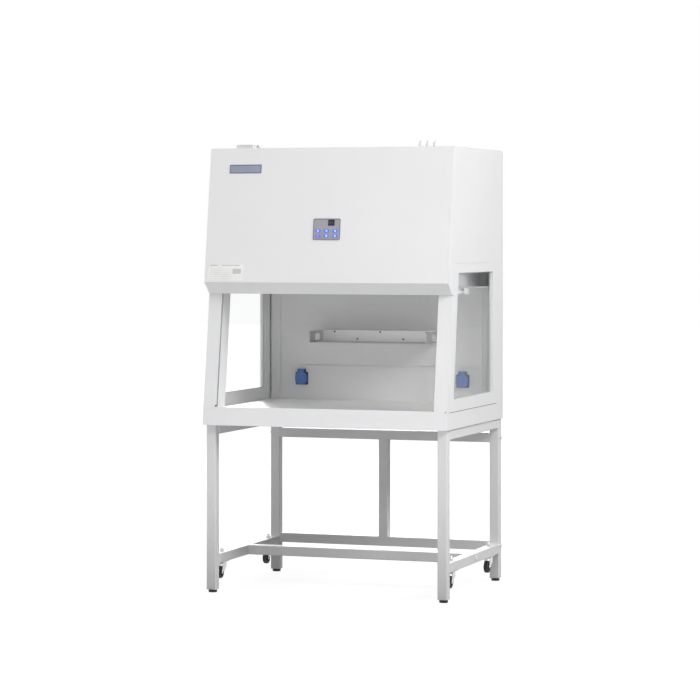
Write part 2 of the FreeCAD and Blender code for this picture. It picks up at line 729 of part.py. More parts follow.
def side_section(inset):
    """The base's side outline, drawn in by a wall."""
    low = f"stand_height + {inset}"
    high = f"base_top - {inset}"
    return [
        (front_at(low, inset), low),
        (f"cabinet_depth - {inset}", low),
        (f"cabinet_depth - {inset}", high),
        (front_at(high, inset), high),
    ]


def make_base():
    """Folded base box with a sill between the posts and an opening under the work surface."""
    made = cabinet_body("base_housing")
    side = sketch(made, "YZ_Plane")
    outline(side, side_section("0"))
    pad(made, side, "cabinet_width", both=True)
    cavity = sketch(made, "YZ_Plane")
    outline(cavity, side_section("sheet_gauge"))
    pocket(made, cavity, "cabinet_width - 2 * sheet_gauge", both=True)
    sill = sketch(made, "YZ_Plane")
    outline(sill, [
        (front_at("base_top"), "base_top"),
        ("sill_depth", "base_top"),
        ("sill_depth", "sill_top"),
        (front_at("sill_top"), "sill_top"),
    ])
    pad(made, sill, "2 * (post_inner - seat_gap)", both=True)
    opening = sketch(made, "XY_Plane", "base_top")
    rectangle(opening, "-opening_side", "sill_depth + base_flange",
              "opening_side", "rear_wall_front - base_flange")
    pocket(made, opening, "sheet_gauge * 1.5")


def between_posts(level, front):
    """A level sheet of the chamber: it reaches forward between the posts and is wider behind them."""
    narrow = "(post_inner - seat_gap)"
    wide = "(wall_inner - seat_gap)"
    step = front_at(level, "post_depth + seat_gap")
    return [
        ("-" + narrow, front),
        (narrow, front),
        (narrow, step),
        (wide, step),
        (wide, "rear_wall_front - seat_gap"),
        ("-" + wide, "rear_wall_front - seat_gap"),
        ("-" + wide, step),
        ("-" + narrow, step),
    ]


def make_work_surface():
    """Stainless plate whose turned-down rim drops into the base."""
    made = cabinet_body("work_surface")
    plate = sketch(made, "XY_Plane", "base_top")
    outline(plate, between_posts("work_level", "sill_depth + seat_gap"))
    pad(made, plate, "sheet_gauge")
    rim = sketch(made, "XY_Plane", "base_top")
    for inward in ("seat_gap", "seat_gap + sheet_gauge"):
        wide = f"(opening_side - ({inward}))"
        rectangle(rim, "-" + wide, f"sill_depth + base_flange + {inward}",
                  wide, f"rear_wall_front - base_flange - ({inward})")
    pad(made, rim, "surface_rim", back=True)


def window_corners(inset):
    """The side window, with its front edge parallel to the leaning front."""
    return [
        (front_at(f"glass_bottom + {inset}", f"frame_front_width + {inset}"), f"glass_bottom + {inset}"),
        (f"glass_rear - {inset}", f"glass_bottom + {inset}"),
        (f"glass_rear - {inset}", f"glass_top - {inset}"),
        (front_at(f"glass_top - {inset}", f"frame_front_width + {inset}"), f"glass_top - {inset}"),
    ]


def wall_corners(rear):
    """The outline of the lower side wall, stepped back above the lip to clear the cover's sides."""
    return [
        (front_at("base_top", "sheet_gauge"), "base_top"),
        (rear, "base_top"),
        (rear, "frame_top"),
        (front_at("frame_top", "cover_wrap + seat_gap"), "frame_top"),
        (front_at("notch_level", "cover_wrap + seat_gap"), "notch_level"),
        (front_at("notch_level", "sheet_gauge"), "notch_level"),
    ]


def make_side_walls():
    pan_start = "(wall_inner + sheet_gauge)"
    pan_depth = "(wall_depth - sheet_gauge)"

    def faces_inward(normal):
        return normal.x < -0.99

    frame = cabinet_body("right_window_frame")
    drawn = sketch(frame, "YZ_Plane", pan_start)
    outline(drawn, wall_corners("frame_rear"))
    outline(drawn, window_corners("0"))
    hollow(frame, pad(frame, drawn, pan_depth), faces_inward)
    shadow_line = sketch(frame, "YZ_Plane", "half_width")
    rectangle(shadow_line, "shadow_start", "base_top", "frame_rear", "base_top + shadow_height")
    pocket(frame, shadow_line, "2 * sheet_gauge")
    mirrored("left_window_frame", frame)

    panel = cabinet_body("right_side_panel")
    drawn = sketch(panel, "YZ_Plane", pan_start)
    outline(drawn, [
        (front_at("frame_top", "cover_wrap + seat_gap"), "frame_top + seat_gap"),
        ("frame_rear + seat_gap", "frame_top + seat_gap"),
        ("frame_rear + seat_gap", "base_top"),
        ("cabinet_depth", "base_top"),
        ("cabinet_depth", "roof_under"),
        (front_at("roof_under", "cover_wrap + seat_gap"), "roof_under"),
    ])
    hollow(panel, pad(panel, drawn, pan_depth), faces_inward)
    mirrored("left_side_panel", panel)

    liner = cabinet_body("side_liner_right")
    drawn = sketch(liner, "YZ_Plane", "wall_inner")
    outline(drawn, wall_corners("rear_wall_front + sheet_gauge"))
    outline(drawn, window_corners("0"))
    pad(liner, drawn, "sheet_gauge")
    group("side_liners", [liner, mirrored("side_liner_left", liner)])

    glass = cabinet_body("side_glass_right")
    drawn = sketch(glass, "YZ_Plane", "wall_inner + seat_gap")
    outline(drawn, window_corners("seat_gap"))
    pad(glass, drawn, "glass_thickness")
    group("side_window_glass", [glass, mirrored("side_glass_left", glass)])


def make_posts():
    """Folded front posts. The sash glass runs in the slot on their inner side."""
    made = cabinet_body("right_front_post")
    section = sketch(made, "XY_Plane", "base_top")

    def behind(distance):
        return front_at("base_top", distance)

    slot_end = "(post_inner + slot_depth)"
    box_outer = "(wall_inner - seat_gap)"
    outline(section, [
        ("post_inner", behind("0")),
        ("half_width", behind("0")),
        ("half_width", behind("sheet_gauge")),
        (box_outer, behind("sheet_gauge")),
        (box_outer, behind("post_depth")),
        ("post_inner", behind("post_depth")),
        ("post_inner", behind("slot_back")),
        (slot_end, behind("slot_back")),
        (slot_end, behind("slot_front")),
        ("post_inner", behind("slot_front")),
    ])
    outline(section, [
        (f"{slot_end} + sheet_gauge", behind("sheet_gauge")),
        (f"{box_outer} - sheet_gauge", behind("sheet_gauge")),
        (f"{box_outer} - sheet_gauge", behind("post_depth - sheet_gauge")),
        ("post_inner + sheet_gauge", behind("post_depth - sheet_gauge")),
        ("post_inner + sheet_gauge", behind("slot_back + sheet_gauge")),
        (f"{slot_end} + sheet_gauge", behind("slot_back + sheet_gauge")),
    ])
    rise = pad(made, section, "cabinet_height - post_top_gap - base_top")
    rise.UseCustomVector = True
    rise.Direction = FreeCAD.Vector(0, number("front_lean"), 1)
    bind(rise, "Direction.y", "front_lean")
    rise.AlongSketchNormal = True
    doc.recompute()
    notch = sketch(made, "XZ_Plane")
    notch_side = "half_width - 2 * sheet_gauge"
    rectangle(notch, notch_side, "notch_level", "half_width + sheet_gauge", "cabinet_height")
    pocket(made, notch, both=True)
    mirrored("left_front_post", made)


def make_rear_walls():
    """Chamber rear wall in four sheets with open seams, and the outer back."""
    high = "(ceiling_level - seat_gap)"
    seam = "seam_gap / 2"

    def sheet_body(name, left, low, right, top):
        made = cabinet_body(name)
        drawn = sketch(made, "XZ_Plane", "-rear_wall_front")
        rectangle(drawn, left, low, right, top)
        return made, drawn

    side = f"(wall_seam - {seam})"
    low_sheet, drawn = sheet_body("wall_low", "-" + side, "base_top", side, f"wall_seam_level - {seam}")
    for sign in ("-", ""):
        circle(drawn, f"{sign}socket_place + socket_shift", "socket_level", "barrel_radius + seat_gap")
    pad(low_sheet, drawn, "sheet_gauge", back=True)
    high_sheet, drawn = sheet_body("wall_high", "-" + side, f"wall_seam_level + {seam}", side, high)
    pad(high_sheet, drawn, "sheet_gauge", back=True)
    strip_side = "wall_inner - corner_gap"
    strip, drawn = sheet_body("wall_strip", f"wall_seam + {seam}", "base_top", strip_side, high)
    pad(strip, drawn, "sheet_gauge", back=True)
    group("rear_wall_panels", [low_sheet, high_sheet, strip, mirrored("wall_strip_left", strip)])

    back = cabinet_body("back_panel")
    drawn = sketch(back, "XZ_Plane", "back_inset - cabinet_depth")
    wide = "(wall_inner + sheet_gauge - seat_gap)"
    rectangle(drawn, "-" + wide, "base_top", wide, "roof_under - seat_gap")
    solid = pad(back, drawn, "wall_depth")
    hollow(back, solid, lambda normal: normal.y < -0.99)


def make_shelf():
    """Open folded tray with a window in each end plate."""
    made = cabinet_body("shelf")
    front = "(rear_wall_front - shelf_depth)"
    drawn = sketch(made, "XY_Plane", "shelf_level")
    rectangle(drawn, "-shelf_half_width", front, "shelf_half_width", "rear_wall_front")
    solid = pad(made, drawn, "shelf_height")
    hollow(made, solid, lambda normal: normal.z > 0.99 or normal.y < -0.99)
    window = sketch(made, "YZ_Plane")
    start = f"({front} + shelf_window_inset)"
    low = "(shelf_level + shelf_window_low)"
    rectangle(window, start, low, f"{start} + shelf_window_length", f"{low} + shelf_window_height")
    pocket(made, window, both=True)


def make_sockets():
    """Mains sockets with spring lids. Their own origin is the socket axis on the wall."""
    right = "socket_place + socket_shift"
    wall_y = "rear_wall_front - half_depth"
    made = place(new_body("socket_body_right"), right, wall_y, "socket_level")
    flange = sketch(made, "XZ_Plane")
    rectangle(flange, "-flange_side / 2", "-flange_side / 2", "flange_side / 2", "flange_side / 2")
    solid = pad(made, flange, "flange_height")
    round_edges(made, solid, lambda edge: runs_along(edge, 1), "flange_corner")
    barrel = sketch(made, "XZ_Plane")
    circle(barrel, "0", "0", "barrel_radius")
    pad(made, barrel, "barrel_length", back=True)
    hinge_top = "(hinge_level + hinge_radius)"
    plate = sketch(made, "XZ_Plane")
    rectangle(plate, "-hinge_half_width", "flange_side / 2 - joint_lap", "hinge_half_width", hinge_top)
    pad(made, plate, "hinge_stand - hinge_radius - hinge_gap")
    for sign in ("-", ""):
        ear = sketch(made, "XZ_Plane")
        near = f"{sign}(hinge_half_width - hinge_ear)"
        rectangle(ear, near, "flange_side / 2 - joint_lap", f"{sign}hinge_half_width", hinge_top)
        pad(made, ear, "hinge_stand + hinge_radius / 2")
    pin = sketch(made, "YZ_Plane")
    circle(pin, "-hinge_stand", "hinge_level", "hinge_pin_radius")
    pad(made, pin, "2 * hinge_half_width", both=True)
    well = sketch(made, "XZ_Plane", "flange_height")
    circle(well, "0", "0", "well_radius")
    pocket(made, well, "well_depth")
    contacts = sketch(made, "XZ_Plane", "flange_height - well_depth")
    for sign in ("-", ""):
        circle(contacts, sign + "contact_spread", "0", "contact_radius")
    pocket(made, contacts, "barrel_length + flange_height - well_depth - barrel_floor")
    group("socket_bodies", [made, mirrored("socket_body_left", made, "socket_shift")])

    lid = place(new_body("right_socket_lid"), right, wall_y, "socket_level")
    cap = sketch(lid, "XZ_Plane", "flange_height + seat_gap")
    rectangle(cap, "-lid_side / 2", "-lid_side / 2", "lid_side / 2", "lid_side / 2")
    solid = pad(lid, cap, "lid_height")
    rounded = round_edges(lid, solid, lambda edge: runs_along(edge, 1), "lid_corner")
    hollow(lid, rounded, lambda normal: normal.y > 0.99, "lid_wall")
    knuckle = sketch(lid, "YZ_Plane")
    circle(knuckle, "-hinge_stand", "hinge_level", "hinge_radius")
    wide = "2 * (hinge_half_width - hinge_ear - seat_gap)"
    pad(lid, knuckle, wide, both=True)
    web = sketch(lid, "YZ_Plane")
    rectangle(web, "-(hinge_stand + hinge_radius)", "lid_side / 2 - lid_wall", "-hinge_stand", "hinge_level")
    pad(lid, web, wide, both=True)
    bore = sketch(lid, "YZ_Plane")
    circle(bore, "-hinge_stand", "hinge_level", "hinge_pin_radius + seat_gap / 2")
    pocket(lid, bore, both=True)
    mirrored("left_socket_lid", lid, "socket_shift")


# Hood


def make_cover():
    """Folded cover of the hood, with an opening for the control panel."""
    body = cabinet_body("cover_sheet")
    side = sketch(body, "YZ_Plane")
    outline(side, [
        (front_at("lip_level", "-lip_gap"), "lip_level"),
        (front_at("fold_level", "-cover_stand"), "fold_level"),
        (front_at("cabinet_height", "-cover_stand"), "cabinet_height"),
        (front_at("cabinet_height", "cover_wrap"), "cabinet_height"),
        (front_at("lip_level", "cover_wrap"), "lip_level"),
    ])
    solid = pad(body, side, "cabinet_width", both=True)
    hollow(body, solid, lambda normal: normal.y > 0.9 or normal.z < -0.99)
    hole = doc.addObject("Part::Box", "panel_hole")
    wide = "(panel_half_width - panel_rim + seat_gap)"
    tall = "(panel_half_height - panel_rim + seat_gap)"
    deep = "(cover_stand / 2)"
    bind(hole, "Length", f"2 * {wide}")
    bind(hole, "Width", f"2 * {deep}")
    bind(hole, "Height", f"2 * {tall}")
    on_face = front_at("panel_level", "-cover_stand - half_depth")
    place(
        hole,
        f"-{wide}",
        f"{on_face} - ({deep} + front_lean * {tall}) / slope_length",
        f"panel_level + (front_lean * {deep} - {tall}) / slope_length",
        leaning=True,
    )
    made = doc.addObject("Part::Cut", "front_cover")
    made.Label = "front_cover"
    made.Base = body
    made.Tool = hole


def make_roof():
    """Roof sheet with the slots of the air intake."""
    made = cabinet_body("top_panel")
    drawn = sketch(made, "XY_Plane", "roof_under")
    start = front_at("cabinet_height", "cover_wrap + seat_gap")
    rectangle(drawn, "-half_width", start, "half_width", "cabinet_depth")
    pad(made, drawn, "sheet_gauge")
    slots = sketch(made, "XY_Plane", "cabinet_height")
    for column in ("-0.5", "0.5"):
        left = f"({column} * (grille_slot_length + grille_pitch) - grille_slot_length / 2)"
        right = f"{left} + grille_slot_length"
        rectangle(slots, left, "grille_front", right, "grille_front + grille_slot_width")
    cut = pocket(made, slots, "2 * sheet_gauge")
    repeat(made, cut, slots, "V_Axis", "grille_slots", "(grille_slots - 1) * grille_pitch")


def make_ceiling():
    """Chamber ceiling with diffuser slots, and the front wall of the plenum above it."""
    made = cabinet_body("chamber_ceiling")
    start = front_at("ceiling_level", "plenum_setback")
    drawn = sketch(made, "XY_Plane", "ceiling_level")
    outline(drawn, between_posts("ceiling_level + sheet_gauge", start))
    pad(made, drawn, "sheet_gauge")
    wall = sketch(made, "YZ_Plane")
    wall_top = "cabinet_height - plenum_top_gap"
    outline(wall, [
        (start, "ceiling_level"),
        (f"{start} + sheet_gauge", "ceiling_level"),
        (front_at(wall_top, "plenum_setback + sheet_gauge"), wall_top),
        (front_at(wall_top, "plenum_setback"), wall_top),
    ])
    pad(made, wall, "2 * (post_inner - seat_gap)", both=True)
    slots = sketch(made, "XY_Plane", "ceiling_level + sheet_gauge")
    for column in ("-1", "0", "1"):
        left = f"({column} * (diffuser_slot_length + diffuser_pitch) - diffuser_slot_length / 2)"
        right = f"{left} + diffuser_slot_length"
        rectangle(slots, left, "diffuser_front", right, "diffuser_front + diffuser_slot_width")
    cut = pocket(made, slots, "2 * sheet_gauge")
    repeat(made, cut, slots, "V_Axis", "diffuser_slots", "(diffuser_slots - 1) * diffuser_pitch")


def make_filter():
    """Filter frame with its pleated core, which lies back at both faces."""
    frame = cabinet_body("filter_frame")
    drawn = sketch(frame, "XY_Plane", "filter_bottom")
    rectangle(drawn, "-filter_half_width", "filter_front", "filter_half_width", "filter_rear")
    wide = "(filter_half_width - filter_rim)"
    rectangle(drawn, "-" + wide, "filter_front + filter_rim", wide, "filter_rear - filter_rim")
    pad(frame, drawn, "filter_height")
    core = cabinet_body("filter_core")
    drawn = sketch(core, "XY_Plane", "filter_bottom + filter_recess")
    rectangle(drawn, "-" + wide, "filter_front + filter_rim", wide, "filter_rear - filter_rim")
    pad(core, drawn, "filter_height - 2 * filter_recess")


def make_fan():
    """Plug fan: housing over the filter, motor on a cross bracket, and the impeller under the inlet."""
    housing = cabinet_body("fan_housing")
    drawn = sketch(housing, "XY_Plane", "filter_top")
    rectangle(drawn, "-filter_half_width", "filter_front", "filter_half_width", "filter_rear")
    solid = pad(housing, drawn, "fan_box_height")
    hollow(housing, solid, lambda normal: normal.z < -0.99)
    inlet = sketch(housing, "XY_Plane", "fan_box_top")
    circle(inlet, "0", "filter_middle", "inlet_radius")
    pocket(housing, inlet, "2 * sheet_gauge")

    wheel_low = "(fan_box_top - sheet_gauge - impeller_gap - impeller_height - 2 * impeller_plate)"
    motor = place(new_body("fan_motor"), "0", "fan_place", f"{wheel_low} - 2 * seat_gap")
    can = sketch(motor, "XY_Plane")
    circle(can, "0", "0", "motor_radius")
    pad(motor, can, "motor_height", back=True)
    bracket = sketch(motor, "XY_Plane", "-motor_height")
    reach = "(filter_half_width - sheet_gauge - seat_gap)"
    rectangle(bracket, "-" + reach, "-bracket_width / 2", reach, "bracket_width / 2")
    pad(motor, bracket, "bracket_height", back=True)
    shaft = sketch(motor, "XY_Plane")
    circle(shaft, "0", "0", "fan_shaft_radius")
    pad(motor, shaft, "impeller_height / 2")

    wheel = place(new_body("fan_impeller"), "0", "fan_place", wheel_low)
    plate = sketch(wheel, "XY_Plane")
    circle(plate, "0", "0", "impeller_radius")
    pad(wheel, plate, "impeller_plate")
    hub = sketch(wheel, "XY_Plane")
    circle(hub, "0", "0", "fan_hub_radius")
    pad(wheel, hub, "impeller_height / 2")
    blade = sketch(wheel, "XY_Plane", "impeller_plate")
    inner = "inlet_radius"
    outer = "(impeller_radius - blade_gauge)"
    back_x = f"{outer} * cos(blade_sweep * 1deg)"
    back_y = f"{outer} * sin(blade_sweep * 1deg)"
    outline(blade, [
        (inner, "0"),
        (f"{inner} + blade_gauge", "0"),
        (f"{back_x} + blade_gauge / 2", f"{back_y} - blade_gauge / 2"),
        (back_x, back_y),
    ])
    first = pad(wheel, blade, "impeller_height")
    ring = wheel.newObject("PartDesign::PolarPattern", "fan_impeller_blades")
    ring.Originals = [first]
    ring.Axis = (blade, ["N_Axis"])
    ring.Angle = 360
    bind(ring, "Occurrences", "blade_count")
    wheel.Tip = ring
    doc.recompute()
    shroud = sketch(wheel, "XY_Plane", "impeller_plate + impeller_height")
    circle(shroud, "0", "0", "impeller_radius")
    circle(shroud, "0", "0", "inlet_radius - shroud_lap")
    pad(wheel, shroud, "impeller_plate")
    bore = sketch(wheel, "XY_Plane")
    circle(bore, "0", "0", "fan_shaft_radius + seat_gap / 3")
    pocket(wheel, bore, "impeller_height", back=True)


def make_lamps():
    """Lighting tube and ultraviolet tube under the ceiling, each between two holders."""
    lamps = []
    for name, radius, drop, place_y in (
        ("led", "led_radius", "led_drop", "led_place"),
        ("uv", "uv_radius", "lamp_drop", "uv_place"),
    ):
        lamp = place(new_body(f"{name}_lamp"), "0", f"{place_y} - half_depth", f"ceiling_level - {drop}")
        glass = sketch(lamp, "YZ_Plane")
        circle(glass, "0", "0", radius)
        pad(lamp, glass, "2 * lamp_half_length", both=True)
        for sign in ("", "-"):
            holder = sketch(lamp, "YZ_Plane", f"{sign}lamp_half_length")
            rectangle(holder, f"-{radius}", f"-{radius}", radius, f"{drop} - seat_gap")
            pad(lamp, holder, "holder_length", back=sign == "-")
        lamps.append(lamp)
    group("ceiling_lamps", lamps)


PANEL_Y = front_at("panel_level", "-cover_stand - half_depth")
KEYS = [
    (f"{row}_{column}_key", f"{factor} * key_pitch", level)
    for row, level in (("upper", "key_row_high"), ("lower", "key_row_low"))
    for column, factor in (("left", "-1"), ("middle", "0"), ("right", "1"))
]


def make_control_panel():
    """Control plate with a rim behind it, a display recess and an opening for each key."""
    made = place(new_body("control_bezel"), "0", PANEL_Y, "panel_level", leaning=True)
    plate = sketch(made, "XZ_Plane")
    rectangle(plate, "-panel_half_width", "-panel_half_height", "panel_half_width", "panel_half_height")
    solid = pad(made, plate, "panel_plate")
    round_edges(made, solid, lambda edge: runs_along(edge, 1), "panel_corner")
    rim = sketch(made, "XZ_Plane")
    for inward in ("panel_rim", "panel_rim + panel_rim_wall"):
        wide = f"(panel_half_width - ({inward}))"
        tall = f"(panel_half_height - ({inward}))"
        rectangle(rim, "-" + wide, "-" + tall, wide, tall)
    pad(made, rim, "panel_rim_depth", back=True)
    for name, across, level in KEYS:
        hole = sketch(made, "XZ_Plane", "panel_plate")
        stadium(hole, across, level, "key_length + 2 * key_gap", "key_height + 2 * key_gap")
        pocket(made, hole, "2 * panel_plate")
    recess = sketch(made, "XZ_Plane", "panel_plate")
    left = "(display_place - display_width / 2)"
    low = "(display_rise - display_height / 2)"
    rectangle(recess, left, low, f"{left} + display_width", f"{low} + display_height")
    pocket(made, recess, "display_recess")


def make_keys():
    for name, across, level in KEYS:
        key = place(new_body(name), "0", PANEL_Y, "panel_level", leaning=True)
        top = sketch(key, "XZ_Plane", "-seat_gap")
        stadium(top, across, level, "key_length", "key_height")
        pad(key, top, "panel_plate + key_rise + seat_gap")
        flange = sketch(key, "XZ_Plane", "-seat_gap")
        stadium(flange, across, level, "key_length + 2 * key_flange", "key_height + 2 * key_flange")
        pad(key, flange, "key_flange_height", back=True)


def make_sash():
    """Raised sash: a glass in the post slots with a folded rail along its lower edge."""
    glass_front = "(slot_front / slope_length + slot_clearance)"
    base_y = front_at("sash_rest", "-half_depth")
    glass = place(new_body("sash_glass"), "0", base_y, "sash_rest", leaning=True)
    pane = sketch(glass, "XY_Plane")
    wide = "(post_inner + slot_depth - sash_edge_gap)"
    rectangle(pane, "-" + wide, glass_front, wide, f"{glass_front} + glass_thickness")
    pad(glass, pane, "sash_length")

    rail = place(new_body("sash_rail"), "0", base_y, "sash_rest", leaning=True)
    side = sketch(rail, "YZ_Plane")
    front_in = f"({glass_front} - seat_gap)"
    back_in = f"({glass_front} + glass_thickness + seat_gap)"
    outline(side, [
        (f"{front_in} - handle_gauge", "-handle_gauge - seat_gap"),
        ("handle_ledge", "-handle_gauge - seat_gap"),
        ("handle_ledge", "-seat_gap"),
        (f"{back_in} + handle_gauge", "-seat_gap"),
        (f"{back_in} + handle_gauge", "handle_height"),
        (back_in, "handle_height"),
        (back_in, "-seat_gap"),
        (front_in, "-seat_gap"),
        (front_in, "handle_height"),
        (f"{front_in} - handle_gauge", "handle_height"),
    ])
    pad(rail, side, "2 * (post_inner - handle_side_gap)", both=True)


def make_top_fittings():
    """Terminal box with its knob, and three blanked cable glands, on the roof."""
    box = cabinet_body("terminal_box")
    drawn = sketch(box, "XY_Plane", "cabinet_height")
    left = "(top_box_margin - half_width - top_box_width / 2)"
    rectangle(drawn, left, "top_box_inset", f"{left} + top_box_width", "top_box_inset + top_box_depth")
    solid = pad(box, drawn, "top_box_height")
    round_edges(box, solid, lambda edge: runs_along(edge, 2), "tube_corner")
    knob_x = f"{left} + top_box_width + 3 * gland_radius"
    knob_y = "top_box_inset + top_box_depth / 2 - half_depth"
    knob = cylinder("box_knob", "2 * gland_radius", "top_box_height", knob_x, knob_y, "cabinet_height")
    fittings = [box, knob]
    for step in (-1, 0, 1):
        gland = place(new_body(f"gland_{step + 2}"), f"half_width - gland_margin + {step} * gland_pitch",
                      "gland_inset - half_depth", "cabinet_height")
        nut = sketch(gland, "XY_Plane")
        circle(nut, "0", "0", "2 * gland_radius")
        pad(gland, nut, "gland_height / 5")
        neck = sketch(gland, "XY_Plane")
        circle(neck, "0", "0", "gland_radius")
        pad(gland, neck, "gland_height")
        fittings.append(gland)
    group("top_fittings", fittings)


make_legs()
make_rails()
make_bolts()
make_leg_ends()
make_castors()
make_base()
make_work_surface()
make_side_walls()
make_posts()
make_rear_walls()
make_shelf()
make_sockets()
make_cover()
make_roof()
make_ceiling()
make_filter()
make_fan()
make_lamps()
make_control_panel()
make_keys()
make_sash()
make_top_fittings()
doc.recompute()

NODES = (
    [corner + piece for corner, x, y in CORNERS for piece in ("_leg", "_foot", "_castor_fork", "_castor_wheel")]
    + [name for name, across, level in KEYS]
    + [
        "top_side_rails", "lower_side_rails", "rear_top_rail", "rear_lower_rail", "rear_middle_post",
        "lower_cross_rail", "leg_end_inserts", "stand_bolts", "castor_plates",
        "base_housing", "work_surface", "right_side_panel", "left_side_panel",
        "right_window_frame", "left_window_frame", "side_liners", "side_window_glass",
        "right_front_post", "left_front_post", "rear_wall_panels", "back_panel",
        "socket_bodies", "right_socket_lid", "left_socket_lid", "shelf",
        "front_cover", "top_panel", "chamber_ceiling", "filter_frame", "filter_core",
        "fan_housing", "fan_motor", "fan_impeller", "ceiling_lamps",
        "control_bezel", "sash_glass", "sash_rail", "top_fittings",
    ]
)

for thing in doc.Objects:
    if "Invalid" in thing.State or "Error" in thing.State:
        raise RuntimeError(f"{thing.Label} is not built: {thing.State}")
os.makedirs("parts", exist_ok=True)
for name in NODES:
    shape = doc.getObjectsByLabel(name)[0].Shape
    if shape.isNull() or not shape.isValid() or not shape.Solids:
        raise RuntimeError(f"{name} has no valid solid")
    shape.exportStep(f"parts/{name}.step")
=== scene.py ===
"""Finishes and small parts of a PCR work cabinet on a tube stand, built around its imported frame."""

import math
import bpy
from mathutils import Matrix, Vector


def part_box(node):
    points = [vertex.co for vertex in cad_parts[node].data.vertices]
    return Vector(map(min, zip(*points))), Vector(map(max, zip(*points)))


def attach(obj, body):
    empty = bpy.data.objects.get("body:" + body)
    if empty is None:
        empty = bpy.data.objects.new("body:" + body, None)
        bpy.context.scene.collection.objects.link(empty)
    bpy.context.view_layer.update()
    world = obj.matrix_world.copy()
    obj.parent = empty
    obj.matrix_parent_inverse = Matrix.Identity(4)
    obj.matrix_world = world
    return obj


bl_info = {
    "name": "PCR cabinet looks",
    "version": (1, 0, 0),
    "blender": (4, 5, 0),
    "location": "3D View > Sidebar > Cabinet",
    "description": "Gives a PCR cabinet its paint, steel, glass and plastics, its small parts and a studio",
    "category": "Object",
}

import bmesh
import bpy
from bpy.props import FloatProperty, FloatVectorProperty, IntProperty, PointerProperty
from mathutils import Matrix, Vector

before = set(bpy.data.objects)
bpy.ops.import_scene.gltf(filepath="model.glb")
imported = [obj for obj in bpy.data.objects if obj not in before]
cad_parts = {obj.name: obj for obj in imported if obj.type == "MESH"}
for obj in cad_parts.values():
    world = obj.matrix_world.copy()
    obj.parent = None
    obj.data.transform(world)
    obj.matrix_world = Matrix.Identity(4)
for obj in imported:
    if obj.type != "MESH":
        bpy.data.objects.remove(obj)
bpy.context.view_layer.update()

RIGHT = Vector((1, 0, 0))
BACK = Vector((0, 1, 0))
UP = Vector((0, 0, 1))
CORNERS = ("front_left", "front_right", "rear_left", "rear_right")
SHARP_ANGLE = math.radians(32)


# Sizes and colours


def colour(label, text, value):
    return FloatVectorProperty(name=label, description=text, default=value, subtype="COLOR", min=0, max=1)


def number(label, text, value, **limits):
    return FloatProperty(name=label, description=text, default=value, **limits)


def length(label, text, value):
    return number(label, text, value, subtype="DISTANCE", unit="LENGTH")


def power(label, text, value):
    return number(label, text, value, subtype="POWER")


def share(label, text, value):
    return number(label, text, value, min=0, max=1)


def number_of(label, text, value, low, high):
    return IntProperty(name=label, description=text, default=value, min=low, max=high)


class CabinetColours(bpy.types.PropertyGroup):
    stand_paint: colour("Stand paint", "Powder coat of the stand", (0.80, 0.80, 0.81))
    cabinet_paint: colour("Cabinet paint", "Powder coat of the outer sheets", (0.83, 0.83, 0.84))
    wall_paint: colour("Wall paint", "Coat of the chamber's walls and ceiling", (0.65, 0.65, 0.65))
    stainless: colour("Work surface steel", "Brushed steel of the work surface", (0.80, 0.80, 0.79))
    shelf_steel: colour("Shelf steel", "Brushed steel of the shelf", (0.54, 0.54, 0.54))
    zinc: colour("Zinc", "Castor forks, plates and bolts", (0.66, 0.67, 0.69))
    aluminium: colour("Aluminium", "Sash rail, lamp caps and filter frame", (0.78, 0.78, 0.80))
    rubber: colour("Rubber", "Feet and tyres", (0.016, 0.016, 0.017))
    seal: colour("Seal", "Bead of sealant round the side windows", (0.48, 0.49, 0.49))
    blackened: colour("Blackened steel", "Screws of the shelf", (0.09, 0.09, 0.095))
    glass: colour("Glass", "Tint of the panes", (0.988, 0.995, 0.992))
    white_plastic: colour("White plastic", "Leg ends and roof fittings", (0.74, 0.74, 0.74))
    socket_blue: colour("Socket", "Body of the mains sockets", (0.012, 0.035, 0.14))
    lid_blue: colour("Socket lid", "Spring lids of the sockets", (0.065, 0.145, 0.40))
    panel_grey: colour("Control panel", "Film of the control panel", (0.35, 0.35, 0.38))
    panel_edge: colour("Panel edge", "Darker border of the control panel", (0.22, 0.22, 0.235))
    key_blue: colour("Keys", "Backlit keys", (0.10, 0.17, 0.90))
    key_centre: colour("Key mark", "Lit mark in the middle of a key", (0.48, 0.72, 0.98))
    key_stop: colour("Stop mark", "Lit mark of the lower left key", (0.85, 0.22, 0.24))
    display: colour("Display", "Dark window of the display", (0.010, 0.014, 0.030))
    digit: colour("Digits", "Lit segments of the display", (0.30, 0.045, 0.02))
    plate: colour("Name plate", "Bare plate on the hood", (0.30, 0.33, 0.42))
    plate_rim: colour("Plate rim", "Raised rim of the bare plate", (0.10, 0.13, 0.27))
    label: colour("Data label", "Film of the bare label", (0.90, 0.895, 0.875))
    ruling: colour("Ruling", "Lines printed on the bare label", (0.60, 0.60, 0.59))
    paper: colour("Filter paper", "Pleats of the filter", (0.80, 0.80, 0.77))
    lamp: colour("Lamp", "Frosted tubes under the ceiling", (0.50, 0.51, 0.53))
    fan: colour("Fan steel", "Fan housing and impeller", (0.10, 0.105, 0.11))
    motor: colour("Motor", "Fan motor", (0.02, 0.02, 0.022))


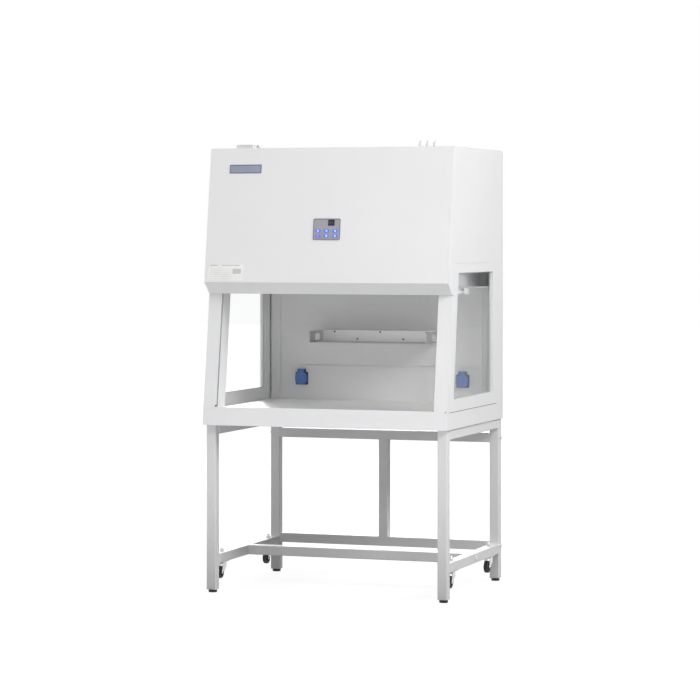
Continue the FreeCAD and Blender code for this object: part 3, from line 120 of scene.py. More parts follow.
class CabinetSizes(bpy.types.PropertyGroup):
    edge: length("Edge", "Rounding of the folded sheets", 0.0009)
    peel: share("Orange peel", "Depth of the paint's texture", 0.35)
    screw: length("Screw head", "Radius of the pan-head screws", 0.0045)
    weld: length("Weld bead", "Radius of the weld beads", 0.0021)
    seal_width: length("Seal width", "Width of the sealant round the panes", 0.0028)
    guide: length("Sash guide", "Width of the rubber lip along the sash slots", 0.0022)
    plate_length: length("Plate length", "Length of the bare name plate", 0.139)
    plate_height: length("Plate height", "Height of the bare name plate", 0.036)
    label_length: length("Label length", "Length of the bare data label", 0.158)
    label_height: length("Label height", "Height of the bare data label", 0.070)
    pleats: number_of("Pleats", "Folds of the filter paper", 96, 8, 300)
    ribs: number_of("Wheel ribs", "Ribs on each side of a castor wheel", 8, 3, 24)


class CabinetStudio(bpy.types.PropertyGroup):
    camera_place: FloatVectorProperty(
        name="Camera", description="Place of the camera",
        default=(3.736, -10.766, 1.470), subtype="TRANSLATION",
    )
    camera_turn: number("Camera turn", "Turn about the vertical", math.radians(19.25), subtype="ANGLE")
    lens: number("Lens", "Focal length in millimetres", 141.4, min=10)
    shift: number("Lens shift", "Shift of the lens that frames the picture", -0.1689)
    key_power: power("Key light", "Power of the high light in front", 98)
    side_power: power("Side light", "Power of the light on the right", 190)
    front_power: power("Front light", "Power of the near light in front", 11)
    top_power: power("Top light", "Power of the light overhead", 30)
    left_power: power("Left light", "Power of the light on the left", 120)
    rear_power: power("Rear light", "Power of the light behind", 270)
    sky: number("Sky", "Strength of the even light near the ground", 0.10, min=0)
    zenith: number("Zenith", "Strength of the even light overhead", 0.66, min=0)
    apron: share("Apron", "Paleness of the floor in front to the light", 0.86)
    floor: share("Floor", "Paleness of the rest of the floor to the light", 0.10)
    shadow: share("Shadow", "How far the floor's shadow shows", 0.12)


def colours():
    return bpy.context.scene.cabinet_colours


def sizes():
    return bpy.context.scene.cabinet_sizes


# Mesh work


def join(bm, low, high):
    """Faces between two rings of points, of which either may be a single point."""
    count = max(len(low), len(high))
    for step in range(count):
        after = (step + 1) % count
        lower = [low[step % len(low)], low[after % len(low)]]
        upper = [high[after % len(high)], high[step % len(high)]]
        bm.faces.new(list(dict.fromkeys(lower + upper)))


def round_shape(turn):
    return 1.0


def hexagon(turn):
    """Reach of a hexagon at an angle, as a share of its corner radius."""
    return math.cos(math.pi / 6) / math.cos(turn % (math.pi / 3) - math.pi / 6)


def knurl(turn):
    """Reach of a ribbed edge, one rib to every thirty degrees."""
    return 1.0 if round(turn / (math.pi / 12)) % 2 else 0.93


def turned(bm, at, axis, profile, sides=16):
    """A turned shape: rings of (radius, height) from one end of its axis to the other."""
    place = Matrix.Translation(at) @ axis.to_track_quat("Z", "Y").to_matrix().to_4x4()
    rings = []
    for radius, level, *shape in profile:
        reach = shape[0] if shape else round_shape
        ring = []
        for turn in [math.tau * step / sides for step in range(sides)] if radius else [0.0]:
            far = radius * reach(turn)
            ring.append(bm.verts.new(place @ Vector((far * math.cos(turn), far * math.sin(turn), level))))
        rings.append(ring)
    for low, high in zip(rings, rings[1:]):
        join(bm, low, high)


def screw(bm, at, axis, radius):
    """A pan-head screw with a hexagon recess, seated on a surface."""
    turned(bm, at, axis, [
        (0, -0.2 * radius),
        (radius, -0.2 * radius),
        (radius, 0.25 * radius),
        (0.88 * radius, 0.5 * radius),
        (0.6 * radius, 0.62 * radius),
        (0.46 * radius, 0.62 * radius, hexagon),
        (0.44 * radius, 0.2 * radius, hexagon),
        (0, 0.12 * radius),
    ], 12)


def threaded(bm, at, core, root, crest, pitch, turns, top, rises):
    """A threaded rod that stands on a place."""
    profile = [(0, 0), (core, 0)]
    for turn in range(turns):
        profile += [(radius, pitch * turn + rise) for radius, rise in zip((root, crest, crest), rises)]
    turned(bm, at, UP, [*profile, (core, top), (0, top)])


def rounded(width, height, radius, steps=5, middle=(0, 0)):
    """A rounded rectangle as points in order."""
    points = []
    for quarter, (across, up) in enumerate(((1, 1), (-1, 1), (-1, -1), (1, -1))):
        for step in range(steps + 1):
            turn = math.pi / 2 * (quarter + step / steps)
            points.append(Vector((
                middle[0] + across * (width / 2 - radius) + radius * math.cos(turn),
                middle[1] + up * (height / 2 - radius) + radius * math.sin(turn),
            )))
    return points


def slab(bm, place, outline, low, high, edge=0.0):
    """A plate on the XY plane of a place, with its upper edge eased."""
    middle = sum(outline, Vector((0, 0))) / len(outline)
    rings = []
    for level, inset in ((low, 0), (high - edge, 0), (high, edge)):
        pulled = [point - (point - middle).normalized() * inset for point in outline]
        rings.append([bm.verts.new(place @ Vector((point.x, point.y, level))) for point in pulled])
    bm.faces.new(rings[0][::-1])
    bm.faces.new(rings[-1])
    join(bm, rings[0], rings[1])
    join(bm, rings[1], rings[2])


def rim(bm, place, outer, inner, low, high):
    """A flat ring between two outlines of as many points."""
    rings = []
    for outline, level in ((outer, low), (outer, high), (inner, high), (inner, low)):
        rings.append([bm.verts.new(place @ Vector((point.x, point.y, level))) for point in outline])
    for step, ring in enumerate(rings):
        join(bm, rings[step - 1], ring)


def bead(bm, points, normal, radius, ripple=0.0, closed=True, sides=8):
    """A round bead along points that lie in a plane, with its ripples across."""
    rings = []
    count = len(points)
    for at, point in enumerate(points):
        before = points[at - 1] if closed or at else point
        after = points[(at + 1) % count] if closed or at + 1 < count else point
        side = (after - before).normalized().cross(normal)
        swell = radius * (1 + ripple * (at % 2))
        turns = [math.tau * step / sides for step in range(sides)]
        rings.append([
            bm.verts.new(point + swell * (math.cos(turn) * side + math.sin(turn) * normal)) for turn in turns
        ])
    for low, high in zip(rings, rings[1:]):
        join(bm, low, high)
    if closed:
        join(bm, rings[-1], rings[0])
    else:
        bm.faces.new(rings[0])
        bm.faces.new(rings[-1])


def fine_path(points, pitch, closed=True):
    """The same path with points a short pitch apart."""
    made = []
    pairs = zip(points, points[1:] + points[:1]) if closed else zip(points, points[1:])
    for start, stop in pairs:
        count = max(1, round((stop - start).length / pitch))
        made += [start.lerp(stop, step / count) for step in range(count)]
    return made if closed else made + [points[-1]]


def box_between(bm, low, high):
    """A block between two corners."""
    corners = ((low[0], low[1]), (high[0], low[1]), (high[0], high[1]), (low[0], high[1]))
    slab(bm, Matrix(), [Vector(corner) for corner in corners], low[2], high[2])


def add_piece(name, bm, look, body="cabinet"):
    """Turn a mesh into a piece that has a finish and rides on a body of the cabinet."""
    bmesh.ops.recalc_face_normals(bm, faces=bm.faces)
    mesh = bpy.data.meshes.new(name)
    bm.to_mesh(mesh)
    bm.free()
    if not mesh.polygons:
        raise RuntimeError(f"{name} has no faces")
    mesh.shade_smooth()
    mesh.set_sharp_from_angle(angle=SHARP_ANGLE)
    mesh.materials.append(finish(look))
    piece = bpy.data.objects.new(name, mesh)
    bpy.context.scene.collection.objects.link(piece)
    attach(piece, body)
    return piece


def add_heads(name, places, axis, radius, look="screw_steel"):
    """Screws on a surface, as one piece."""
    heads = bmesh.new()
    for place in places:
        screw(heads, Vector(place), axis, radius)
    add_piece(name, heads, look)


def add_slab(name, place, outline, levels, look, body="cabinet"):
    """One plate as a piece, with its lower level, its upper level and its eased edge."""
    plate = bmesh.new()
    slab(plate, place, outline, *levels)
    add_piece(name, plate, look, body)


def border(bm, place, size, band, radii, levels, middle=(0, 0)):
    """A rounded ring that is narrower inside by a band."""
    outer = rounded(size[0], size[1], radii[0], middle=middle)
    inner = rounded(size[0] - band, size[1] - band, radii[1], middle=middle)
    rim(bm, place, outer, inner, *levels)


# Places

LEAN = math.radians(8)
BASE_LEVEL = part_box("base_housing")[0].z
BASE_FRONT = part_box("base_housing")[0].y
COVER_STAND = 0.0626
NAME_PLATE = (-0.364, 1.726)
DATA_LABEL = (-0.428, 1.306)
PANEL_LEVEL = 1.480
DISPLAY_MIDDLE = (0.019, 0.0265)
KEY_COLUMNS = {"left": -1, "middle": 0, "right": 1}
KEY_ROWS = {"upper": -0.007, "lower": -0.027}
KEY_PITCH = 0.0365
KEY_TOP = 0.0032
SILL_LEVEL = 0.7590
SLOT_LIPS = (0.0010, 0.0087)
PANE_THICKNESS = 0.005
WINDOW_SETBACK = 0.0763
# Run and levels of the black strip under the window frames: painted shade that darkens the gap above the
# base
SHADE_STRIP_RUN = (0.0385, 0.7025)
SHADE_STRIP_LEVELS = (0.75145, 0.75345)
SOCKET_LEVEL = 0.841
SOCKET_HALF = 0.0255
TUBE_HALF = 0.0196
CASTOR_TRAIL = 0.023
FOOT_STEM = 0.0125


def front_line(level):
    """Depth of the leaning front at a level."""
    return BASE_FRONT + math.tan(LEAN) * (level - BASE_LEVEL)


def on_front(x, level, stand=0.0):
    """A place on the leaning front: X to the right, Y up the slope and Z outwards."""
    y = front_line(level) - stand
    turn = Matrix(((1, 0, 0), (0, math.sin(LEAN), -math.cos(LEAN)), (0, math.cos(LEAN), math.sin(LEAN))))
    return Matrix.Translation((x, y, level)) @ turn.to_4x4()


def middle_of(node):
    low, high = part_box(node)
    return (low + high) / 2


# Materials


def wire(tree, kind, sockets=(), **settings):
    """Add a shader node, set it up, and fill or link its sockets."""
    made = tree.nodes.new("ShaderNode" + kind)
    for name, value in settings.items():
        setattr(made, name, value)
    for key, value in dict(sockets).items():
        if isinstance(value, bpy.types.NodeSocket):
            tree.links.new(value, made.inputs[key])
        else:
            made.inputs[key].default_value = value
    return made


def times(tree, first, second):
    return wire(tree, "Math", {0: first, 1: second}, operation="MULTIPLY").outputs[0]


def plus(tree, first, second):
    return wire(tree, "Math", {0: first, 1: second}, operation="ADD").outputs[0]


def larger(tree, first, second):
    return wire(tree, "Math", {0: first, 1: second}, operation="MAXIMUM").outputs[0]


def between(tree, value, low, high, new_low, new_high):
    """A value carried from one range to another."""
    sockets = {"Value": value, "From Min": low, "From Max": high, "To Min": new_low, "To Max": new_high}
    return wire(tree, "MapRange", sockets).outputs["Result"]


def shaded(tree, tint, amount):
    """A colour made lighter or darker by an amount round one."""
    return wire(tree, "VectorMath", {0: tint, "Scale": amount}, operation="SCALE").outputs["Vector"]


def new_group(name, inputs, outputs):
    """A shader node group with its sockets, and its input and output nodes."""
    group = bpy.data.node_groups.new(name, "ShaderNodeTree")
    kinds = {"colour": "NodeSocketColor", "value": "NodeSocketFloat", "vector": "NodeSocketVector"}
    for label, kind, value in inputs:
        group.interface.new_socket(label, in_out="INPUT", socket_type=kinds[kind]).default_value = value
    for label, kind in outputs:
        group.interface.new_socket(label, in_out="OUTPUT", socket_type=kinds[kind])
    return group, group.nodes.new("NodeGroupInput").outputs, group.nodes.new("NodeGroupOutput").inputs


def noise(tree, scale, detail=2.0, roughness=0.5, where=None):
    where = where or wire(tree, "TexCoord").outputs["Object"]
    sockets = {"Vector": where, "Scale": scale, "Detail": detail, "Roughness": roughness}
    return wire(tree, "TexNoise", sockets).outputs["Fac"]


def bump(tree, height, strength, distance, normal):
    sockets = {"Strength": strength, "Distance": distance, "Height": height, "Normal": normal}
    return wire(tree, "Bump", sockets).outputs["Normal"]


def effect(tree, name, sockets=()):
    """A node that holds one of the shared groups."""
    return wire(tree, "Group", sockets, node_tree=bpy.data.node_groups[name])


def new_surface(name, *inputs):
    """A group that takes and gives a colour and a roughness, and gives a normal as well."""
    return new_group(
        name, [("Colour", "colour", (0.8, 0.8, 0.8, 1)), ("Roughness", "value", 0.4), *inputs],
        [("Colour", "colour"), ("Roughness", "value"), ("Normal", "vector")],
    )


def give_out(group, given, out, tone, dulled, normal):
    """Lead a change of tone, a change of roughness and a normal to a surface's outputs."""
    group.links.new(shaded(group, given["Colour"], tone), out["Colour"])
    group.links.new(plus(group, given["Roughness"], dulled), out["Roughness"])
    group.links.new(normal, out["Normal"])


def build_soft_edge():
    """Rounded-looking edges, and a mask of where they are."""
    group, given, out = new_group(
        "soft_edge", [("Radius", "value", 0.001)], [("Mask", "value"), ("Normal", "vector")]
    )
    rounding = wire(group, "Bevel", {"Radius": given["Radius"]}, samples=4).outputs["Normal"]
    flat = wire(group, "NewGeometry").outputs["Normal"]
    along = wire(group, "VectorMath", {0: rounding, 1: flat}, operation="DOT_PRODUCT")
    edge = between(group, along.outputs["Value"], 0.80, 0.995, 1.0, 0.0)
    patchy = between(group, noise(group, 160.0, 4.0), 0.35, 0.65, 0.35, 1.0)
    group.links.new(times(group, edge, patchy), out["Mask"])
    group.links.new(rounding, out["Normal"])


def build_wiped_marks():
    """Faint streaks and spots that wiping leaves on a smooth surface."""
    group, given, out = new_group("wiped_marks", [("Scale", "value", 6.0)], [("Mask", "value")])
    where = wire(group, "TexCoord").outputs["Object"]
    drawn_out = wire(group, "Mapping", {"Vector": where, "Scale": (1.0, 1.6, 0.35)}).outputs["Vector"]
    streaks = noise(group, given["Scale"], 5.0, 0.62, drawn_out)
    spots = noise(group, times(group, given["Scale"], 7.0), 2.0, 0.5, where)
    mixed = plus(group, times(group, streaks, 0.7), times(group, spots, 0.3))
    group.links.new(between(group, mixed, 0.38, 0.66, 0.0, 1.0), out["Mask"])


def build_powder_coat():
    """Baked powder paint: orange peel, faint clouding, and edges where the coat lies thin."""
    group, given, out = new_surface(
        "powder_coat",
        ("Peel scale", "value", 700.0), ("Peel depth", "value", 0.3), ("Edge radius", "value", 0.001),
    )
    edge = effect(group, "soft_edge", {"Radius": given["Edge radius"]})
    marks = effect(group, "wiped_marks")
    cloud = between(group, noise(group, 2.2, 3.0), 0.3, 0.7, 0.985, 1.012)
    speck = between(group, noise(group, 1500.0, 1.0), 0.3, 0.7, 0.992, 1.006)
    thin = between(group, edge.outputs["Mask"], 0.0, 1.0, 1.0, 0.955)
    tone = times(group, times(group, cloud, speck), thin)
    dulled = between(group, marks.outputs["Mask"], 0.0, 1.0, -0.05, 0.04)
    coarse = noise(group, times(group, given["Peel scale"], 0.22), 1.0)
    peel = plus(group, noise(group, given["Peel scale"], 2.0), times(group, coarse, 1.6))
    normal = bump(group, peel, given["Peel depth"], 0.00012, edge.outputs["Normal"])
    give_out(group, given, out, tone, dulled, normal)


def build_brushed_grain():
    """Metal with fine parallel scratches along one way and wiping marks over them."""
    group, given, out = new_surface(
        "brushed_grain",
        ("Grain", "vector", (8.0, 900.0, 900.0)), ("Depth", "value", 0.25), ("Edge radius", "value", 0.0006),
    )
    where = wire(group, "TexCoord").outputs["Object"]
    combed = wire(group, "VectorMath", {0: where, 1: given["Grain"]}, operation="MULTIPLY")
    scratches = noise(group, 1.0, 3.0, 0.6, combed.outputs["Vector"])
    marks = effect(group, "wiped_marks")
    edge = effect(group, "soft_edge", {"Radius": given["Edge radius"]})
    tone = times(
        group,
        between(group, scratches, 0.3, 0.7, 0.94, 1.05),
        between(group, edge.outputs["Mask"], 0.0, 1.0, 1.0, 1.12),
    )
    dulled = plus(
        group,
        between(group, scratches, 0.3, 0.7, -0.05, 0.07),
        between(group, marks.outputs["Mask"], 0.0, 1.0, -0.03, 0.06),
    )
    normal = bump(group, scratches, given["Depth"], 0.00006, edge.outputs["Normal"])
    give_out(group, given, out, tone, dulled, normal)


def build_moulded_grain():
    """Moulded plastic or rubber: fine eroded grain, flow clouding and rubbed edges."""
    group, given, out = new_surface(
        "moulded_grain",
        ("Grain scale", "value", 1400.0), ("Depth", "value", 0.3), ("Rubbed", "value", 1.15),
    )
    edge = effect(group, "soft_edge", {"Radius": 0.0008})
    grain = noise(group, given["Grain scale"], 3.0, 0.6)
    cloud = between(group, noise(group, 26.0, 3.0), 0.3, 0.7, 0.95, 1.05)
    tone = times(group, cloud, between(group, edge.outputs["Mask"], 0.0, 1.0, 1.0, given["Rubbed"]))
    dulled = between(group, grain, 0.3, 0.7, -0.06, 0.06)
    normal = bump(group, grain, given["Depth"], 0.0001, edge.outputs["Normal"])
    give_out(group, given, out, tone, dulled, normal)


def new_material(name):
    """An empty node material with its Principled shader."""
    made = bpy.data.materials.new(name)
    made.use_nodes = True
    tree = made.node_tree
    return made, tree, tree.nodes["Principled BSDF"]


def surfaced(name, group_name, tint, values, **plain):
    """A material whose colour, roughness and normal come from one shared effect."""
    made, tree, shader = new_material(name)
    made_up = effect(tree, group_name, {"Colour": (*tint, 1), **values}).outputs
    for socket, output in (("Base Color", "Colour"), ("Roughness", "Roughness"), ("Normal", "Normal")):
        tree.links.new(made_up[output], shader.inputs[socket])
    for label, value in plain.items():
        shader.inputs[label.replace("_", " ")].default_value = value
    made.diffuse_color = (*tint, 1)
    return made


# Low, because the panes in the photograph show next to no reflection.
GLASS_INDEX = 1.07


def glazed(name, tint, marks_scale):
    """Clear glass with wiping marks. Lamps shine through it."""
    made, tree, shader = new_material(name)
    shader.inputs["Base Color"].default_value = (*tint, 1)
    shader.inputs["Transmission Weight"].default_value = 1.0
    shader.inputs["IOR"].default_value = GLASS_INDEX
    marks = effect(tree, "wiped_marks", {"Scale": marks_scale})
    tree.links.new(between(tree, marks.outputs["Mask"], 0.0, 1.0, 0.0, 0.035), shader.inputs["Roughness"])
    open_way = wire(tree, "BsdfTransparent", {"Color": (*tint, 1)})
    path = wire(tree, "LightPath").outputs
    passes = larger(tree, path["Is Shadow Ray"], path["Is Diffuse Ray"])
    mixed = wire(tree, "MixShader", {0: passes, 1: shader.outputs[0], 2: open_way.outputs[0]})
    tree.links.new(mixed.outputs["Shader"], tree.nodes["Material Output"].inputs["Surface"])
    made.diffuse_color = (*tint, 0.3)
    return made


def lit(name, tint, strength):
    """Moulded plastic that is lit from inside, a little unevenly."""
    made = surfaced(name, "moulded_grain", tint, {"Roughness": 0.35, "Depth": 0.1})
    tree = made.node_tree
    shader = tree.nodes["Principled BSDF"]
    glow = between(tree, noise(tree, 240.0, 2.0), 0.3, 0.7, 0.9, 1.1)
    tree.links.new(shaded(tree, tuple(tint), glow), shader.inputs["Emission Color"])
    shader.inputs["Emission Strength"].default_value = strength
    return made


def build_materials():
    """Every finish of the cabinet, by the name of its slot or of its small part."""
    build_soft_edge()
    build_wiped_marks()
    build_powder_coat()
    build_brushed_grain()
    build_moulded_grain()
    tint = colours()
    edge = sizes().edge
    peel = sizes().peel

    def paint(name, shade, roughness, depth, scale=700.0):
        values = {"Roughness": roughness, "Peel depth": depth, "Peel scale": scale, "Edge radius": edge}
        return surfaced(name, "powder_coat", shade, values)

    def metal(name, shade, roughness, grain, depth=0.2):
        values = {"Roughness": roughness, "Grain": grain, "Depth": depth}
        return surfaced(name, "brushed_grain", shade, values, Metallic=1.0)

    def plastic(name, shade, roughness, depth=0.25, scale=1400.0, rubbed=1.12):
        values = {"Roughness": roughness, "Depth": depth, "Grain scale": scale, "Rubbed": rubbed}
        return surfaced(name, "moulded_grain", shade, values)

    paint("stand_paint", tint.stand_paint, 0.46, min(1.0, 2.0 * peel), 520.0)
    paint("cabinet_paint", tint.cabinet_paint, 0.38, peel)
    paint("wall_paint", tint.wall_paint, 0.42, peel)
    paint("fan_steel", tint.fan, 0.45, peel)
    paint("motor_black", tint.motor, 0.5, peel)
    metal("stainless", tint.stainless, 0.43, (7.0, 800.0, 800.0))
    metal("shelf_steel", tint.shelf_steel, 0.40, (7.0, 800.0, 800.0))
    metal("zinc", tint.zinc, 0.40, (260.0, 260.0, 260.0), 0.35)
    metal("sash_rail", tint.aluminium, 0.34, (5.0, 1100.0, 1100.0), 0.15)
    metal("filter_frame", tint.aluminium, 0.42, (9.0, 600.0, 600.0), 0.2)
    metal("screw_steel", tint.zinc, 0.28, (400.0, 400.0, 400.0), 0.1)
    plastic("black_rubber", tint.rubber, 0.62, 0.5, 900.0, 1.6)
    plastic("seal", tint.seal, 0.5)
    metal("black_steel", tint.blackened, 0.35, (400.0, 400.0, 400.0), 0.1)
    plastic("white_plastic", tint.white_plastic, 0.45)
    plastic("fitting_white", tint.white_plastic, 0.42)
    plastic("socket_blue", tint.socket_blue, 0.42, rubbed=1.4)
    plastic("socket_lid_blue", tint.lid_blue, 0.30, 0.12, rubbed=1.2)
    plastic("panel_grey", tint.panel_grey, 0.36, 0.2, 1900.0)
    plastic("panel_edge", tint.panel_edge, 0.36, 0.2, 1900.0)
    plastic("display", tint.display, 0.12, 0.03)
    plastic("name_plate", tint.plate, 0.34, 0.15, 2000.0)
    plastic("plate_rim", tint.plate_rim, 0.34, 0.15)
    plastic("data_label", tint.label, 0.40, 0.12, 2200.0)
    plastic("ruling", tint.ruling, 0.45, 0.1)
    plastic("filter_paper", tint.paper, 0.85, 0.7, 500.0, 1.0)
    lit("lamp", tint.lamp, 0.75)
    lit("key_blue", tint.key_blue, 0.25)
    lit("key_centre", tint.key_centre, 0.12)
    lit("key_stop", tint.key_stop, 0.12)
    lit("digit", tint.digit, 0.06)
    glazed("window_glass", tint.glass, 3.0)
    glazed("sash_glass", tint.glass, 2.2)


def finish(name):
    return bpy.data.materials[name]


# Operators


class CABINET_OT_finish_frame(bpy.types.Operator):
    """Paint, plate and glaze the pieces of the frame"""

    bl_idname = "cabinet.finish_frame"
    bl_label = "Finish the frame"

    def execute(self, context):
        given = {}
        for name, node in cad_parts.items():
            given[name] = node.material_slots[0].material.name.split(".")[0]
        given["shelf"] = "shelf_steel"
        for old in list(bpy.data.materials):
            old.name = "packed_" + old.name
        build_materials()
        for name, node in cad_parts.items():
            node.material_slots[0].material = finish(given[name])
        return {"FINISHED"}


class CABINET_OT_add_control_panel(bpy.types.Operator):
    """Lay the film's border, the display and its two digits on the control panel"""

    bl_idname = "cabinet.add_control_panel"
    bl_label = "Add the control panel's face"

    SEGMENTS = (
        ((-1, 1), (1, 1)), ((-1, -1), (1, -1)),
        ((-1, 1), (-1, 0)), ((-1, 0), (-1, -1)), ((1, 1), (1, 0)), ((1, 0), (1, -1)),
    )
    DIGIT_AWAY = 0.0060
    DIGIT_REACH = (0.0023, 0.0045)

    def execute(self, context):
        place = on_front(0, PANEL_LEVEL, COVER_STAND)
        film = bmesh.new()
        border(film, place, (0.1150, 0.0860), 0.0068, (0.0055, 0.0035), (0.0018, 0.0023))
        add_piece("panel_border", film, "panel_edge")

        outline = rounded(0.0290, 0.0262, 0.0012, middle=DISPLAY_MIDDLE)
        add_slab("display_window", place, outline, (0.0010, 0.0021, 0.0002), "display")
        edge = bmesh.new()
        border(edge, place, (0.0288, 0.0260), 0.0022, (0.0012, 0.0008), (0.0020, 0.0023), DISPLAY_MIDDLE)
        add_piece("display_edge", edge, "plate_rim")

        digits = bmesh.new()
        for side in (-1, 1):
            for (across, up), (next_across, next_up) in self.SEGMENTS:
                x = DISPLAY_MIDDLE[0] + side * self.DIGIT_AWAY
                x += (across + next_across) / 2 * self.DIGIT_REACH[0]
                y = DISPLAY_MIDDLE[1] + (up + next_up) / 2 * self.DIGIT_REACH[1]
                width, height = (0.0032, 0.0011) if up == next_up else (0.0011, 0.0034)
                slab(digits, place, rounded(width, height, 0.0005, 3, (x, y)), 0.0019, 0.00225, 0.0001)
        add_piece("display_digits", digits, "digit")
        return {"FINISHED"}


class CABINET_OT_add_key_marks(bpy.types.Operator):
    """Put a lit mark in the middle of each key"""

    bl_idname = "cabinet.add_key_marks"
    bl_label = "Add the key marks"

    def execute(self, context):
        place = on_front(0, PANEL_LEVEL, COVER_STAND)
        for row, level in KEY_ROWS.items():
            for column, side in KEY_COLUMNS.items():
                outline = rounded(0.0082, 0.0086, 0.0035, middle=(side * KEY_PITCH, level))
                levels = (KEY_TOP - 0.0004, KEY_TOP + 0.0003, 0.0003)
                glow = "key_stop" if (row, column) == ("lower", "left") else "key_centre"
                key = f"{row}_{column}_key"
                add_slab(f"{key}_mark", place, outline, levels, glow, key)
        return {"FINISHED"}


class CABINET_OT_add_plates(bpy.types.Operator):
    """Fix the bare name plate and the bare data label to the hood"""

    bl_idname = "cabinet.add_plates"
    bl_label = "Add the bare plates"

    INK = (0.0003, 0.0005)
    ROWS, SHORT_ROWS = 6, 4
    ROW_TOP, ROW_PITCH = 0.0155, 0.0085

    def execute(self, context):
        size = sizes()
        place = on_front(*NAME_PLATE, COVER_STAND)
        outline = rounded(size.plate_length, size.plate_height, 0.002)
        add_slab("name_plate", place, outline, (-0.0002, 0.0010, 0.0003), "name_plate")
        edge = bmesh.new()
        inset = (size.plate_length - 0.001, size.plate_height - 0.001)
        border(edge, place, inset, 0.006, (0.0018, 0.0008), (0.0006, 0.0014))
        add_piece("name_plate_rim", edge, "plate_rim")

        place = on_front(*DATA_LABEL, COVER_STAND)
        outline = rounded(size.label_length, size.label_height, 0.003)
        add_slab("data_label", place, outline, (-0.0002, 0.0004, 0.0001), "data_label")
        lines = bmesh.new()
        wide = size.label_length - 0.016
        inset = (size.label_length - 0.004, size.label_height - 0.004)
        border(lines, place, inset, 0.0016, (0.0020, 0.0012), self.INK)
        slab(lines, place, rounded(0.032, 0.0044, 0.001, middle=(-0.053, 0.0275)), *self.INK)
        slab(lines, place, rounded(0.078, 0.0036, 0.001, middle=(0.021, 0.0275)), *self.INK)
        for row in range(self.ROWS):
            across, reach = (-0.028, 0.60 * wide) if row < self.SHORT_ROWS else (0, wide)
            middle = (across, self.ROW_TOP - self.ROW_PITCH * row)
            slab(lines, place, rounded(reach, 0.0008, 0.0003, 2, middle), *self.INK)
        slab(lines, place, rounded(0.036, 0.021, 0.001, middle=(0.048, 0.0035)), *self.INK)
        add_piece("data_label_ruling", lines, "ruling")
        return {"FINISHED"}


class CABINET_OT_add_screws(bpy.types.Operator):
    """Fit the screws of the shelf, the roof and the back, and the plugs of the posts"""

    bl_idname = "cabinet.add_screws"
    bl_label = "Add the screws"

    SHELF = ((-0.206, 1.043), (0, 1.043), (0.206, 1.043), (-0.103, 1.014), (0.103, 1.014))
    PLUGS = (("left", -0.4664, 0.7625, "black_rubber"), ("right", 0.5125, 0.7560, "seal"))
    ROOF_EDGE = 0.502

    def execute(self, context):
        radius = sizes().screw
        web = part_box("shelf")[1].y - 0.0015
        shelf = [(x, web, level) for x, level in self.SHELF]
        add_heads("shelf_screws", shelf, -BACK, 0.9 * radius, "black_steel")

        low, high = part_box("top_panel")
        ends = (low.y + 0.03, high.y - 0.014)
        roof = [(x, y, high.z) for x in (-self.ROOF_EDGE, -0.25, 0, 0.25, self.ROOF_EDGE) for y in ends]
        roof += [(side * self.ROOF_EDGE, y, high.z) for side in (-1, 1) for y in (0.0, 0.2)]
        add_heads("roof_screws", roof, UP, 0.8 * radius)

        low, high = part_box("back_panel")
        ends = (low.z + 0.012, high.z - 0.012)
        levels = (ends[0], 1.0, 1.3, 1.55, ends[1])
        back = [(side * (high.x - 0.012), high.y, level) for level in levels for side in (-1, 1)]
        back += [(x, high.y, level) for x in (-0.25, 0, 0.25) for level in ends]
        add_heads("back_screws", back, BACK, radius)

        for name, x, level, plug in self.PLUGS:
            place = on_front(x, level)
            outward = place.to_3x3().col[2]
            stop = bmesh.new()
            turned(stop, place.translation, outward, [
                (0, -0.001), (0.0034, -0.001), (0.0034, 0.0007), (0.0026, 0.0011), (0, 0.0011),
            ])
            add_piece(f"{name}_post_plug", stop, plug)
        return {"FINISHED"}


class CABINET_OT_add_sash_guides(bpy.types.Operator):
    """Press the rubber lips in along the slots that the sash glass runs in"""

    bl_idname = "cabinet.add_sash_guides"
    bl_label = "Add the sash guides"

    def execute(self, context):
        width = sizes().guide
        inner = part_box("right_front_post")[0].x
        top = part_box("right_front_post")[1].z
        section = (
            (0.0004, 0), (-0.0007, 0.0003), (-0.0010, width / 2), (-0.0007, width - 0.0003), (0.0004, width),
        )
        lips = bmesh.new()
        for side in (-1, 1):
            for near in SLOT_LIPS:
                rings = []
                for level in (SILL_LEVEL, top):
                    y = front_line(level) + near
                    rings.append([
                        lips.verts.new((side * (inner + across), y + along, level))
                        for across, along in section
                    ])
                join(lips, rings[0], rings[1])
                lips.faces.new(rings[0])
                lips.faces.new(rings[1])
        add_piece("sash_guides", lips, "black_rubber")
        return {"FINISHED"}


class CABINET_OT_add_castor_studs(bpy.types.Operator):
    """Screw the castors' studs through the lower rails and lock them with nuts"""

    bl_idname = "cabinet.add_castor_studs"
    bl_label = "Add the castor studs"

    def execute(self, context):
        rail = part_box("lower_side_rails")[1].z
        studs = bmesh.new()
        for corner in CORNERS:
            wheel = middle_of(f"{corner}_castor_wheel")
            at = Vector((wheel.x, wheel.y + CASTOR_TRAIL, rail))
            turned(studs, at, UP, [
                (0, 0), (0.0110, 0), (0.0110, 0.0014), (0.0098, 0.0014, hexagon), (0.0098, 0.0082, hexagon),
                (0.0086, 0.0092, hexagon), (0.0050, 0.0092), (0.0050, 0.0160), (0.0043, 0.0172), (0, 0.0172),
            ], 24)
            threaded(
                studs, at + Vector((0, 0, 0.0094)), core=0.0049, root=0.0049, crest=0.00535,
                pitch=0.0012, turns=5, top=0.0062, rises=(0.0003, 0.0006, 0.0008),
            )
        add_piece("castor_studs", studs, "zinc")
        return {"FINISHED"}


